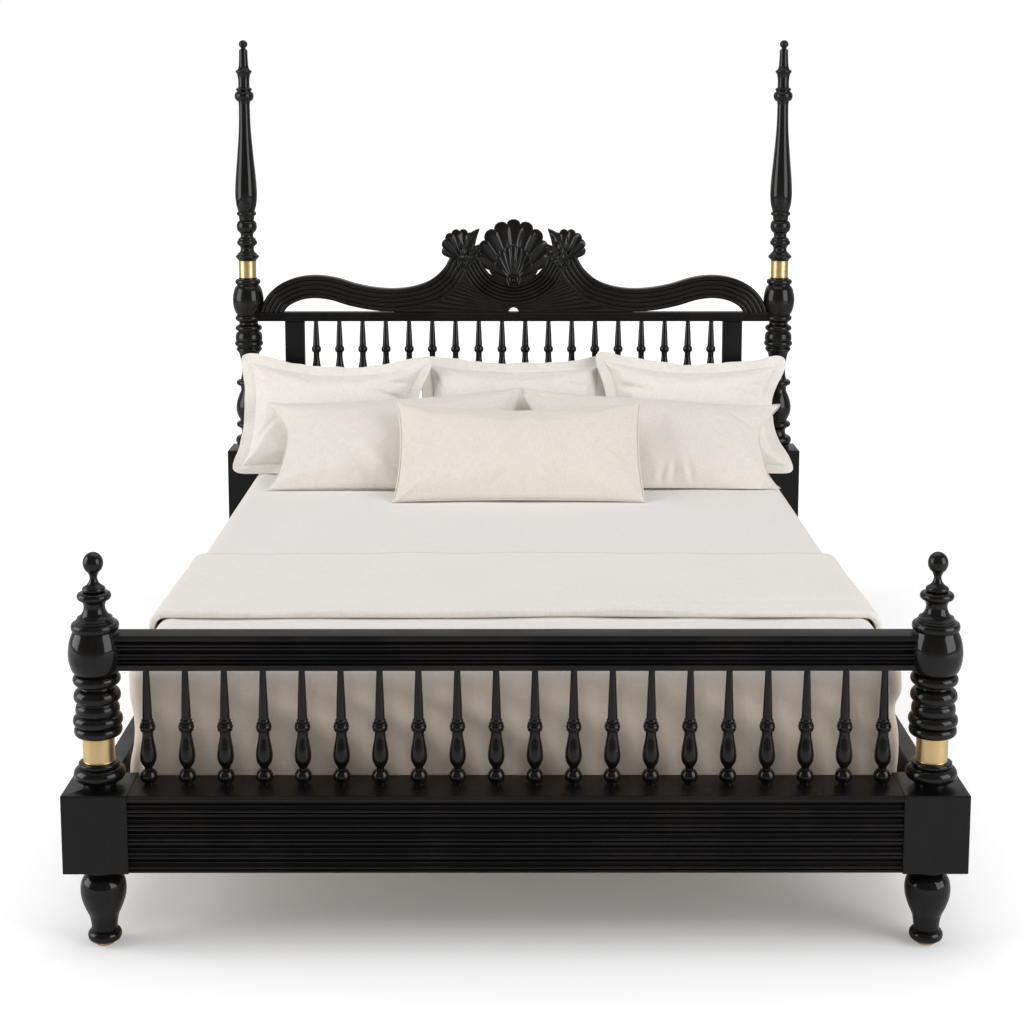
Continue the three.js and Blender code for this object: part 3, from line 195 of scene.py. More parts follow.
def moulding(stations: Sequence[Station], step: float = 5.0, arc_points: int = 9) -> Array:
    """The outline of a moulding or turning through stations (place, reach, bulge).

    From one station to the next the outline is a straight line with a half ellipse on it,
    reach(t) = (1 - t) r0 + t r1 + bulge sqrt(1 - (2t - 1)^2), so a bead has a bulge above zero, a cove
    one below zero, and a fillet none. Stations marked CURVE run on smoothly to the next one.

    Args:
        stations: place along the moulding, reach out of its axis, and bulge or CURVE.
        step: longest distance between points on a smooth run.
        arc_points: how many points an ellipse has.

    Returns:
        One row of place and reach for each point of the outline.
    """
    parts: list[Array] = []
    k = 0
    while k < len(stations) - 1:
        place, reach, bulge = stations[k]
        end = k + 1
        if bulge is CURVE:
            while end < len(stations) - 1 and stations[end][2] is CURVE:
                end += 1
            parts.append(smooth_curve(np.array([s[:2] for s in stations[k : end + 1]]), step))
        elif bulge == 0:
            parts.append(np.array([[place, reach], stations[end][:2]]))
        else:
            t = (1 - np.cos(np.linspace(0, np.pi, arc_points))) / 2
            way = place + t * (stations[end][0] - place)
            out = reach + t * (stations[end][1] - reach) + bulge * np.sqrt(1 - (2 * t - 1) ** 2)
            parts.append(np.stack([way, out], 1))
        k = end
    outline = np.concatenate(parts)
    keep = np.concatenate([[True], np.linalg.norm(np.diff(outline, axis=0), axis=1) > 0.02])
    return outline[keep]


def way_along(line: Array) -> Array:
    """The way along a polyline to each of its points."""
    return np.concatenate([[0], np.cumsum(np.linalg.norm(np.diff(line, axis=0), axis=1))])


def resampled(line: Array, count: int) -> Array:
    """A polyline's points at even steps of its length."""
    far = way_along(line)
    even = np.linspace(0, far[-1], count)
    return np.stack([np.interp(even, far, column) for column in line.T], 1)


def unit(vectors: Array) -> Array:
    """Each row of vectors made one long."""
    return vectors / np.linalg.norm(vectors, axis=1, keepdims=True)


def left_of(path: Array) -> Array:
    """The unit direction to the left of a flat path at each of its points."""
    return unit(np.gradient(path, axis=0))[:, ::-1] * (-1, 1)


def spaced(count: int, reach: float) -> Array:
    """Places evenly spaced from -reach to reach."""
    return np.linspace(-reach, reach, count)


def turned(outline: Array, sides: int, x: float, y: float, closed: bool = False) -> Shell:
    """A turning about an upright axis.

    Point (z, r) of the outline becomes the circle (r cos a, r sin a, z).

    Args:
        outline: height and radius of its points.
        sides: faces round the axis.
        x: where the axis stands across the bed.
        y: where it stands from foot to head.
        closed: whether the outline is a loop, as a sleeve's is.

    Returns:
        The closed shell.
    """
    angle = np.arange(sides) * 2 * np.pi / sides
    z, r = outline[:, :1], outline[:, 1:]
    return tube(np.stack([x + r * np.cos(angle), y + r * np.sin(angle), z + 0 * angle], -1), closed)


def rounded_rectangle(
    half_a: float, half_b: float, radius: float, steps: int = 3, support: float = 0.0
) -> Array:
    """A rectangle's outline with round corners.

    Corner k is centre_k + radius (cos a, sin a), with a over a quarter turn.

    Args:
        half_a: half the width.
        half_b: half the height.
        radius: of the corners.
        steps: faces round each corner.
        support: distance from each corner to a further point on the flats beside it, or none if zero.

    Returns:
        The outline's points, anticlockwise.
    """
    points = []
    for k, (sa, sb) in enumerate([(1, 1), (-1, 1), (-1, -1), (1, -1)]):
        a = (k + np.linspace(0, 1, steps + 1)) * np.pi / 2
        centre = np.array([sa * (half_a - radius), sb * (half_b - radius)])
        arc = centre + radius * np.stack([np.cos(a), np.sin(a)], 1)
        if support:
            before = arc[0] + support * np.array([np.sin(a[0]), -np.cos(a[0])])
            after = arc[-1] + support * np.array([-np.sin(a[-1]), np.cos(a[-1])])
            arc = np.concatenate([[before], arc, [after]])
        points.append(arc)
    return np.concatenate(points)


def along(axis: Axis, section: Array, place: Array) -> Array:
    """Sections (a, b) put at places along an axis, in the order that keeps the frame right-handed."""
    a, b, c = np.broadcast_arrays(section[..., 0], section[..., 1], place[:, None])
    order = {Axis.X: (c, a, b), Axis.Y: (b, c, a), Axis.Z: (a, b, c)}
    return np.stack(order[axis], -1)


def board(low: Sequence[float], high: Sequence[float], axis: Axis, radius: float = 1.5) -> Shell:
    """A planed board with eased edges between two corners of its box.

    Its section is a rounded rectangle. Near each end it draws in by radius (1 - cos a) at radius (1 - sin a)
    from the end, which eases the end's edges as well.

    Args:
        low: lowest corner.
        high: highest corner.
        axis: direction of the grain, along which the section is carried.
        radius: of the eased edges.

    Returns:
        The closed shell.
    """
    order = {Axis.X: (1, 2, 0), Axis.Y: (2, 0, 1), Axis.Z: (0, 1, 2)}[axis]
    lo, hi = np.array(low, float)[list(order)], np.array(high, float)[list(order)]
    middle, half = (lo + hi) / 2, (hi - lo) / 2
    a = np.linspace(np.pi / 2, 0, 4)
    inset = np.concatenate([radius * (1 - np.cos(a)), [0]])
    depth = np.concatenate([radius * (1 - np.sin(a)), [radius + 4]])
    inset = np.concatenate([inset, inset[::-1]])
    place = np.concatenate([lo[2] + depth, hi[2] - depth[::-1]])
    rings = []
    for d, p in zip(inset, place):
        outline = rounded_rectangle(half[0] - d, half[1] - d, max(radius - d, 0.2), support=4.0)
        rings.append(along(axis, middle[:2] + outline, np.array([p]))[0])
    return tube(np.stack(rings))


def cord(path: Array, radius: float) -> Shell:
    """A round cord whose centre line is a closed path.

    Each ring is path + radius (n cos a + b sin a), where n and b are square to the path's direction.

    Args:
        path: centre line, one row for each station.
        radius: of the cord.

    Returns:
        The closed shell, whose cut is its outline from above.
    """
    ahead = unit(np.roll(path, -1, 0) - np.roll(path, 1, 0))
    up = np.where(np.abs(ahead[:, 1:2]) < 0.9, [[0.0, 1.0, 0.0]], [[1.0, 0.0, 0.0]])
    n = unit(np.cross(up, ahead))
    b = np.cross(ahead, n)
    a = (np.arange(8) * np.pi / 4)[:, None]
    made = tube(path[:, None] + radius * (n[:, None] * np.cos(a) + b[:, None] * np.sin(a)), closed=True)
    made.cut = made.points[:, :2]
    return made


def smoothstep(low: float, high: float, value: Array) -> Array:
    """0 below low, 1 above high, and t^2 (3 - 2t) between them."""
    t = np.clip((value - low) / (high - low), 0, 1)
    return t * t * (3 - 2 * t)


def drift(values: Array, waves: int, scale: float, seed: int) -> Array:
    """A gentle random height over points: the sum of sines sin(w_k . p + f_k), over the root of their number.

    Args:
        values: one row for each point.
        waves: number of sines.
        scale: wavelength of the mean wave.
        seed: fixes the draws.

    Returns:
        One height for each point, mostly from -1.5 to 1.5.
    """
    draw = np.random.default_rng(seed)
    turn = draw.normal(size=(waves, values.shape[-1])) * 2 * np.pi / scale / math.sqrt(values.shape[-1])
    phase = draw.uniform(0, 2 * np.pi, waves)
    return np.sin(values @ turn.T + phase).sum(-1) / math.sqrt(waves)


# Meshes


def mesh_points(mesh: bpy.types.Mesh) -> Array:
    """A mesh's points in millimetres."""
    values = np.empty(len(mesh.vertices) * 3, np.float32)
    mesh.vertices.foreach_get("co", values)
    return values.reshape(-1, 3).astype(float) / MM


def write_attribute(mesh: bpy.types.Mesh, name: str, values: Array) -> None:
    """Writes one number for each point of a mesh, which the finishes read by name."""
    layer = mesh.attributes.new(name, "FLOAT", "POINT")
    layer.data.foreach_set("value", values.astype(np.float32))


def mark_relief(mesh: bpy.types.Mesh) -> None:
    """Writes the attribute relief: the mean of n . (p - q) / |p - q| over a point's edges to points q.

    It is above zero on ridges and below zero in grooves, and the finishes read it for wear and dust.
    """
    points = mesh_points(mesh)
    normals = np.empty(points.size)
    mesh.vertices.foreach_get("normal", normals)
    edges = np.empty(len(mesh.edges) * 2, np.int32)
    mesh.edges.foreach_get("vertices", edges)
    normals, edges = normals.reshape(-1, 3), edges.reshape(-1, 2)
    total, uses = np.zeros(len(points)), np.zeros(len(points))
    for p, q in (edges.T, edges.T[::-1]):
        span = points[p] - points[q]
        rise = (normals[p] * span).sum(1) / np.maximum(np.linalg.norm(span, axis=1), TINY)
        np.add.at(total, p, rise)
        np.add.at(uses, p, 1)
    write_attribute(mesh, "relief", total / np.maximum(uses, 1))


def mark_sunk(mesh: bpy.types.Mesh, axis: Axis, face: float) -> None:
    """Writes the attribute sunk: 0 on a face, 1 from 5 mm behind it, and 0 again past 16 mm; the lacquer
    paints shade into the recesses with it.

    Args:
        mesh: the mesh.
        axis: the direction that the face looks along.
        face: how far the face lies from the world's origin along it, in millimetres.
    """
    behind = abs(face) - np.abs(mesh_points(mesh)[:, axis.value])
    write_attribute(mesh, "sunk", smoothstep(1.4, 5.4, behind) * (behind < 16.0))


def make_mesh(name: str, shell: Shell, closed: bool = True, sharp: float = PLANED_EDGE) -> bpy.types.Mesh:
    """Puts a shell into a mesh, in metres.

    Args:
        name: of the mesh.
        shell: its points and faces.
        closed: whether it encloses a space; its faces are then turned outwards.
        sharp: angle in degrees past which an edge isn't shaded smooth.

    Returns:
        The mesh, with the attribute relief, and the UV map cut where the shell has one.
    """
    mesh = bpy.data.meshes.new(name)
    corners = np.concatenate([shell.quads.ravel(), *shell.caps]).astype(np.int32)
    sizes = np.concatenate([np.full(len(shell.quads), 4), [len(c) for c in shell.caps]]).astype(np.int32)
    mesh.vertices.add(len(shell.points))
    mesh.vertices.foreach_set("co", (shell.points * MM).astype(np.float32).ravel())
    mesh.loops.add(len(corners))
    mesh.loops.foreach_set("vertex_index", corners)
    mesh.polygons.add(len(sizes))
    mesh.polygons.foreach_set("loop_start", (np.cumsum(sizes) - sizes).astype(np.int32))
    mesh.update(calc_edges=True)
    if shell.cut is not None:
        layer = mesh.uv_layers.new(name="cut")
        layer.data.foreach_set("uv", (shell.cut[corners] * MM).astype(np.float32).ravel())
    body = bmesh.new()
    body.from_mesh(mesh)
    bmesh.ops.remove_doubles(body, verts=body.verts, dist=1e-6)
    bmesh.ops.dissolve_degenerate(body, edges=body.edges, dist=1e-7)
    if closed:
        bmesh.ops.recalc_face_normals(body, faces=body.faces)
    body.to_mesh(mesh)
    body.free()
    mesh.shade_smooth()
    mesh.set_sharp_from_angle(angle=math.radians(sharp))
    mark_relief(mesh)
    return mesh


def dress(obj: bpy.types.Object, finish: bpy.types.Material, nodes: Sequence[str]) -> None:
    """Gives a piece its finish, and says which construction nodes it stands for.

    Args:
        obj: the piece.
        finish: its material.
        nodes: names of the nodes that it replaces.
    """
    obj.data.materials.clear()
    obj.data.materials.append(finish)
    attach(obj, "root")
    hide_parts(*nodes)


def add_object(name: str, data: bpy.types.ID) -> bpy.types.Object:
    """Links a new object at the world's origin."""
    obj = bpy.data.objects.new(name, data)
    bpy.context.scene.collection.objects.link(obj)
    return obj


def add_piece(
    name: str,
    shell: Shell,
    finish: bpy.types.Material,
    nodes: Sequence[str],
    sharp: float = PLANED_EDGE,
) -> bpy.types.Object:
    """Makes a piece from a shell, and dresses it."""
    obj = add_object(name, make_mesh(name, shell, sharp=sharp))
    dress(obj, finish, nodes)
    return obj


def node_box(node: str) -> tuple[Array, Array]:
    """A construction node's lowest and highest corners, in millimetres."""
    low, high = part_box(node)
    return np.array(low) / MM, np.array(high) / MM


# Shader trees

Socket = bpy.types.NodeSocket
Value = Socket | float


@dataclass
class ShaderTree:
    """A node tree, with short ways to add what the finishes are made of."""

    tree: bpy.types.NodeTree

    def feed(self, node: bpy.types.Node, inputs: dict) -> None:
        """Links a socket, or sets a value, at each named or numbered input of a node."""
        for key, value in inputs.items():
            if isinstance(value, Socket):
                self.tree.links.new(value, node.inputs[key])
            else:
                node.inputs[key].default_value = value

    def add(self, kind: str, inputs: dict | None = None, **settings: object) -> bpy.types.Node:
        """Adds a node.

        Args:
            kind: the node's type.
            inputs: a value or a socket for each named or numbered input.
            settings: the node's own properties.

        Returns:
            The node.
        """
        node = self.tree.nodes.new(kind)
        for key, value in settings.items():
            setattr(node, key, value)
        self.feed(node, inputs or {})
        return node

    def math(self, operation: str, a: Value, b: Value = 0.0, clamp: bool = False) -> Socket:
        """The output of a Math node."""
        return self.add("ShaderNodeMath", {0: a, 1: b}, operation=operation, use_clamp=clamp).outputs[0]

    def times(self, a: Value, b: Value) -> Socket:
        """The product of two values."""
        return self.math("MULTIPLY", a, b)

    def total(self, start: Value, *shares: tuple[Socket, float], clamp: bool = False) -> Socket:
        """A start plus each socket times its weight."""
        for socket, weight in shares:
            start = self.math("ADD", start, self.times(socket, weight), clamp)
        return start

    def step(self, value: Value, low: float, high: float, top: float = 1.0) -> Socket:
        """A value that rises smoothly from 0 at low to top at high."""
        inputs = {"Value": value, "From Min": low, "From Max": high, "To Min": 0.0, "To Max": top}
        return self.add("ShaderNodeMapRange", inputs, interpolation_type="SMOOTHSTEP").outputs[0]

    def mix(self, factor: Value, a: Colour | Socket, b: Colour | Socket, blend: str = "MIX") -> Socket:
        """Two colours mixed."""
        a, b = (c if isinstance(c, Socket) else rgba(c) for c in (a, b))
        mixed = self.add("ShaderNodeMix", {0: factor, 6: a, 7: b}, data_type="RGBA", blend_type=blend)
        return mixed.outputs[2]

    def parts(self, vector: Socket) -> list[Socket]:
        """A vector's three parts."""
        return list(self.add("ShaderNodeSeparateXYZ", {0: vector}).outputs)

    def noise(self, vector: Socket, scale: Value, detail: float = 3.0, roughness: float = 0.55) -> Socket:
        """The grey output of a Noise node."""
        inputs = {"Vector": vector, "Scale": scale, "Detail": detail, "Roughness": roughness}
        return self.add("ShaderNodeTexNoise", inputs).outputs["Fac"]

    def streaks(self, vector: Socket, scale: Colour, detail: float, roughness: float = 0.55) -> Socket:
        """Noise on a vector that is stretched by a scale for each direction."""
        stretched = self.add("ShaderNodeVectorMath", {0: vector, 1: scale}, operation="MULTIPLY").outputs[0]
        return self.noise(stretched, 1.0, detail, roughness)

    def bump(self, height: Socket, strength: float, distance: float, under: Socket | None = None) -> Socket:
        """A Bump node's normal, over another normal if there is one."""
        inputs = {"Height": height, "Strength": strength, "Distance": distance}
        if under is not None:
            inputs["Normal"] = under
        return self.add("ShaderNodeBump", inputs).outputs[0]

    def place(self, kind: str = "Object") -> Socket:
        """Coordinates of a kind."""
        return self.add("ShaderNodeTexCoord").outputs[kind]

    def grain_place(self, axis: Axis) -> Socket:
        """Object coordinates turned so that the grain's direction becomes Z."""
        turn = {Axis.X: (0, math.pi / 2, 0), Axis.Y: (math.pi / 2, 0, 0), Axis.Z: (0, 0, 0)}[axis]
        return self.add("ShaderNodeMapping", {"Vector": self.place(), "Rotation": turn}).outputs[0]

    def attribute(self, name: str) -> Socket:
        """An attribute of the mesh, or 0 where it has none of that name."""
        return self.add("ShaderNodeAttribute", attribute_name=name).outputs["Fac"]

    def effect(self, group: bpy.types.NodeTree, **inputs: Value) -> dict[str, Socket]:
        """Puts in a node group, and returns its outputs by name."""
        outputs = self.add("ShaderNodeGroup", inputs, node_tree=group).outputs
        return {socket.name: socket for socket in outputs}


class Surface(ShaderTree):
    """A new material's tree, with its Principled shader."""

    def __init__(self, name: str) -> None:
        """Makes the material."""
        self.material = bpy.data.materials.new(name)
        self.material.use_nodes = True
        super().__init__(self.material.node_tree)
        self.tree.nodes.clear()
        self.shader = self.add("ShaderNodeBsdfPrincipled")
        self.add("ShaderNodeOutputMaterial", {0: self.shader.outputs[0]})

    def done(self, looks: dict[str, object]) -> bpy.types.Material:
        """Sets or links the shader's inputs, and returns the material."""
        self.feed(self.shader, looks)
        return self.material


def rgba(colour: Colour) -> tuple[float, float, float, float]:
    """A colour with full opacity."""
    return (*colour, 1.0)


def effect(name: str, takes: Sequence[str], wire: Callable[..., dict[str, Socket]]) -> bpy.types.NodeTree:
    """Builds a shader node group.

    Args:
        name: of the group.
        takes: names of its inputs; Vector is a vector, and any other is a value.
        wire: adds the nodes to a tree from the inputs' sockets, and returns a value for each named output.

    Returns:
        The group.
    """
    tree = ShaderTree(bpy.data.node_groups.new(name, "ShaderNodeTree"))
    face = tree.tree.interface
    for label in takes:
        kind = "NodeSocketVector" if label == "Vector" else "NodeSocketFloat"
        face.new_socket(label, in_out="INPUT", socket_type=kind)
    given = tree.add("NodeGroupInput").outputs
    made = wire(tree, *(given[label] for label in takes))
    for label in made:
        face.new_socket(label, in_out="OUTPUT", socket_type="NodeSocketFloat")
    tree.add("NodeGroupOutput", made)
    return tree.tree


def wire_grain(tree: ShaderTree, vector: Socket) -> dict[str, Socket]:
    """Wood grain along Z: long streaks, short pores, and broad figure that leans the streaks."""
    figure = tree.streaks(vector, (9, 9, 1.1), 2.0)
    streak = tree.streaks(vector, (260, 260, 7), 4.0, 0.6)
    pores = tree.step(tree.streaks(vector, (900, 900, 26), 2.0), 0.58, 0.72)
    grain = tree.total(tree.times(streak, 0.65), (figure, 0.35))
    return {"Grain": tree.step(grain, 0.3, 0.7), "Pores": pores, "Height": tree.total(grain, (pores, -0.7))}


def wire_wear(tree: ShaderTree, vector: Socket, relief: Socket) -> dict[str, Socket]:
    """Rubbed ridges and dusty grooves, broken up by noise."""
    broken = tree.noise(vector, 38.0, 5.0, 0.65)
    patchy = tree.noise(vector, 5.5, 2.0)
    ridge = tree.total(relief, (tree.math("SUBTRACT", broken, 0.5), 0.5))
    worn = tree.times(tree.step(ridge, 0.16, 0.42), tree.step(patchy, 0.42, 0.62))
    groove = tree.times(relief, -1.0)
    return {"Worn": worn, "Dust": tree.times(tree.step(groove, 0.08, 0.4), tree.step(broken, 0.35, 0.6))}


def wire_haze(tree: ShaderTree, vector: Socket) -> dict[str, Socket]:
    """Handling marks in a polish: soft cloudy patches and fine uneven lay."""
    cloud = tree.noise(vector, 7.0, 4.0, 0.6)
    return {"Haze": tree.step(cloud, 0.4, 0.75), "Lay": tree.noise(vector, 130.0, 2.0)}


def wire_weave(tree: ShaderTree, vector: Socket, pitch: Socket) -> dict[str, Socket]:
    """Plain weave on the flat cut: sin(u) sin(v) threads, with thick slubs both ways."""
    turns = tree.math("DIVIDE", 2 * math.pi, pitch)
    warp, weft = (tree.math("SINE", tree.times(part, turns)) for part in tree.parts(vector)[:2])
    across = tree.streaks(vector, (38, 640, 1), 3.0, 0.6)
    up = tree.streaks(vector, (640, 38, 1), 3.0, 0.6)
    slub = tree.total(tree.times(across, 0.5), (up, 0.5))
    return {"Slub": slub, "Height": tree.total(slub, (tree.times(warp, weft), 0.3))}


def wire_crumple(tree: ShaderTree, vector: Socket, size: Socket) -> dict[str, Socket]:
    """Soft creases pressed into cloth: a folded noise 1 - |2n - 1| bent by a broader one, and a slow tone."""
    slow = tree.noise(vector, 3.2, 2.0)
    bent = tree.add("ShaderNodeVectorMath", {0: vector, 1: tree.times(slow, 0.5)}, operation="ADD").outputs[0]
    ridge = tree.math("ABSOLUTE", tree.total(-1.0, (tree.noise(bent, size, 3.0, 0.5), 2.0)))
    folded = tree.math("SUBTRACT", 1.0, ridge)
    return {"Tone": tree.step(slow, 0.3, 0.7), "Crease": tree.math("POWER", folded, 3.0)}


class Effects:
    """The shared shader node groups, each built once."""

    def __init__(self) -> None:
        """Builds the groups."""
        self.grain = effect("wood_grain", ["Vector"], wire_grain)
        self.wear = effect("edge_wear", ["Vector", "Relief"], wire_wear)
        self.haze = effect("polish_haze", ["Vector"], wire_haze)
        self.weave = effect("plain_weave", ["Vector", "Pitch"], wire_weave)
        self.crumple = effect("soft_creases", ["Vector", "Size"], wire_crumple)


# Finishes

Finishes = dict[str, bpy.types.Material]


@dataclass(frozen=True)
class LacqueredWood:
    """Near-black lacquer over open-grained hardwood, rubbed brown along its edges, and painted darker in its
    sunk recesses as shade.
    """

    name: str
    axis: Axis
    dark: Colour = (0.0034, 0.0030, 0.0028)
    brown: Colour = (0.0085, 0.0070, 0.0060)
    rubbed: Colour = (0.05, 0.033, 0.023)
    dust: Colour = (0.035, 0.033, 0.031)
    # colour of the painted shade in sunk recesses
    deep: Colour = (0.001, 0.001, 0.001)
    roughness: float = 0.34
    coat: float = 0.55
    coat_roughness: float = 0.07
    pores: float = 0.14
    shine: float = 0.05

    def make(self, effects: Effects) -> bpy.types.Material:
        """Returns the material."""
        look = Surface(self.name)
        vector = look.grain_place(self.axis)
        grain = look.effect(effects.grain, Vector=vector)
        wear = look.effect(effects.wear, Vector=vector, Relief=look.attribute("relief"))
        haze = look.effect(effects.haze, Vector=vector)
        sunk = look.attribute("sunk")
        base = look.mix(grain["Grain"], self.dark, self.brown)
        base = look.mix(look.times(wear["Worn"], 0.45), base, self.rubbed)
        base = look.mix(look.times(wear["Dust"], 0.06), base, self.dust)
        # painted shade: sunk recesses are darkened towards the deep colour, and their coat is dulled below
        base = look.mix(look.times(sunk, 0.6), base, self.deep)
        marks = (haze["Haze"], 0.1), (grain["Pores"], 0.10), (wear["Worn"], 0.15), (sunk, 0.4)
        pores = look.bump(grain["Height"], self.pores, 0.0006)
        return look.done({
            "Base Color": base,
            "Roughness": look.total(self.roughness, *marks, clamp=True),
            "Coat Weight": look.total(self.coat, (sunk, -0.85 * self.coat)),
            "Normal": look.bump(haze["Lay"], 0.02, 0.001, pores),
            "Specular IOR Level": self.shine,
            "Coat Roughness": self.coat_roughness,
        })


@dataclass(frozen=True)
class AgedBrass:
    """Spun brass sheet, polished round its axis and lightly browned."""

    name: str
    bright: Colour = (0.74, 0.545, 0.28)
    brown: Colour = (0.45, 0.30, 0.13)

    def make(self, effects: Effects) -> bpy.types.Material:
        """Returns the material."""
        look = Surface(self.name)
        vector = look.grain_place(Axis.Z)
        haze = look.effect(effects.haze, Vector=vector)
        wear = look.effect(effects.wear, Vector=vector, Relief=look.attribute("relief"))
        lines = look.streaks(vector, (6, 6, 2600), 2.0)
        spots = look.step(look.noise(vector, 60.0, 5.0, 0.7), 0.55, 0.75)
        age = look.total(look.times(haze["Haze"], 0.35), (spots, 0.3), (wear["Dust"], 0.5), clamp=True)
        return look.done({
            "Base Color": look.mix(age, self.bright, self.brown),
            "Roughness": look.total(0.24, (lines, 0.14), (age, 0.14)),
            "Normal": look.bump(lines, 0.08, 0.0003),
            "Metallic": 1.0,
        })


@dataclass(frozen=True)
class PlanedPine:
    """Unfinished planed pine with darker late wood and a few knots."""

    name: str
    axis: Axis
    early: Colour = (0.70, 0.52, 0.31)
    late: Colour = (0.50, 0.31, 0.14)
    knot: Colour = (0.22, 0.11, 0.045)
    worn: Colour = (0.8, 0.65, 0.45)

    def make(self, effects: Effects) -> bpy.types.Material:
        """Returns the material."""
        look = Surface(self.name)
        vector = look.grain_place(self.axis)
        grain = look.effect(effects.grain, Vector=vector)
        wear = look.effect(effects.wear, Vector=vector, Relief=look.attribute("relief"))
        rings = look.streaks(vector, (75, 75, 1.6), 2.0, 0.5)
        knots = look.step(look.streaks(vector, (16, 16, 5), 1.0), 0.74, 0.8)
        base = look.mix(look.step(rings, 0.42, 0.6), self.early, self.late)
        base = look.mix(look.times(grain["Pores"], 0.3), base, self.late)
        base = look.mix(look.times(knots, 0.8), base, self.knot)
        return look.done({
            "Base Color": look.mix(look.times(wear["Worn"], 0.2), base, self.worn),
            "Roughness": look.total(0.72, (grain["Grain"], -0.12)),
            "Normal": look.bump(grain["Height"], 0.25, 0.0008),
            "Specular IOR Level": 0.3,
        })


@dataclass(frozen=True)
class Cloth:
    """Plain-woven cloth, shaded on the piece's flat cut.

    pale and deep are the colours of its high and low threads; tan multiplies them as a painted warm shade
    where it hangs at the foot. pitch is the thread spacing and crease the height of its pressed-in creases,
    both in metres.
    """

    name: str
    pale: Colour
    deep: Colour
    pitch: float = 0.0008
    thread: float = 0.35
    crease: float = 0.004
    crease_size: float = 9.0
    sheen: float = 0.25
    tan: Colour | None = None

    def make(self, effects: Effects) -> bpy.types.Material:
        """Returns the material."""
        look = Surface(self.name)
        cut = look.add("ShaderNodeUVMap", uv_map="cut").outputs[0]
        weave = look.effect(effects.weave, Vector=cut, Pitch=self.pitch)
        crumple = look.effect(effects.crumple, Vector=cut, Size=self.crease_size)
        base = look.mix(look.step(weave["Slub"], 0.36, 0.6), self.deep, self.pale)
        warm = tuple(c * k for c, k in zip(self.pale, (1.0, 0.975, 0.94)))
        base = look.mix(look.times(crumple["Tone"], 0.35), base, warm)
        # painted warm shade on the cloth hanging below the mattress's top, full at the foot and a quarter on
        # the sides
        if self.tan is not None:
            _, along_bed, height = look.parts(look.place())
            hang_shade_mask = look.math("SUBTRACT", 1.0, look.step(height, 0.51, 0.5605))
            foot = look.math("SUBTRACT", 1.0, look.step(along_bed, -1.0, -0.6, 0.75))
            base = look.mix(look.times(hang_shade_mask, foot), base, self.tan, "MULTIPLY")
        threads = look.bump(weave["Height"], self.thread, 0.0005)
        return look.done({
            "Base Color": base,
            "Roughness": look.total(0.8, (weave["Slub"], 0.12)),
            "Normal": look.bump(crumple["Crease"], 0.6, self.crease, threads),
            "Specular IOR Level": 0.2,
            "Sheen Weight": self.sheen,
            "Sheen Roughness": 0.45,
        })


def make_finishes() -> Finishes:
    """Every material of the bed, by the short name that its pieces use."""
    satin = {"dark": (0.0028, 0.0026, 0.0025), "brown": (0.0048, 0.0042, 0.0039)}
    satin |= {"rubbed": (0.022, 0.017, 0.014), "coat": 0.28, "coat_roughness": 0.24}
    satin |= {"pores": 0.4, "shine": 0.14}
    linen = {"pitch": 0.0009, "thread": 0.45, "crease": 0.0016, "crease_size": 5.0}
    # the multiplier of the painted shade on the hanging cloth
    spread = {"pitch": 0.0009, "crease": 0.002, "crease_size": 4.0, "tan": (1.0, 0.87, 0.75)}
    knit = {"pitch": 0.0011, "crease": 0.0018, "crease_size": 3.5, "sheen": 0.35}
    looks = {
        "gloss_x": LacqueredWood("gloss_lacquer_across", Axis.X),
        "gloss_z": LacqueredWood("gloss_lacquer_upright", Axis.Z),
        "satin_x": LacqueredWood("satin_lacquer_across", Axis.X, **satin),
        "satin_y": LacqueredWood("satin_lacquer_lengthwise", Axis.Y, **satin),
        "satin_z": LacqueredWood("satin_lacquer_upright", Axis.Z, **satin),
        "brass": AgedBrass("aged_brass_sheet"),
        "pine_x": PlanedPine("planed_pine_across", Axis.X),
        "pine_y": PlanedPine("planed_pine_lengthwise", Axis.Y),
        "pine_z": PlanedPine("planed_pine_upright", Axis.Z),
        "ticking": Cloth("mattress_ticking", (0.86, 0.85, 0.83), (0.74, 0.73, 0.71), crease=0.002),
        "cotton": Cloth("bedspread_cotton", (0.86, 0.84, 0.81), (0.78, 0.755, 0.72), **spread),
        "throw": Cloth("throw_cotton", (0.86, 0.83, 0.78), (0.77, 0.735, 0.675), **knit),
        "linen": Cloth("pillow_linen", (0.87, 0.84, 0.79), (0.76, 0.71, 0.645), **linen),
        "warm_linen": Cloth("middle_pillow_linen", (0.81, 0.772, 0.72), (0.71, 0.66, 0.60), **linen),
        "oat_linen": Cloth("front_pillow_linen", (0.81, 0.767, 0.702), (0.71, 0.652, 0.568), **linen),
    }
    effects = Effects()
    return {name: look.make(effects) for name, look in looks.items()}


# Posts

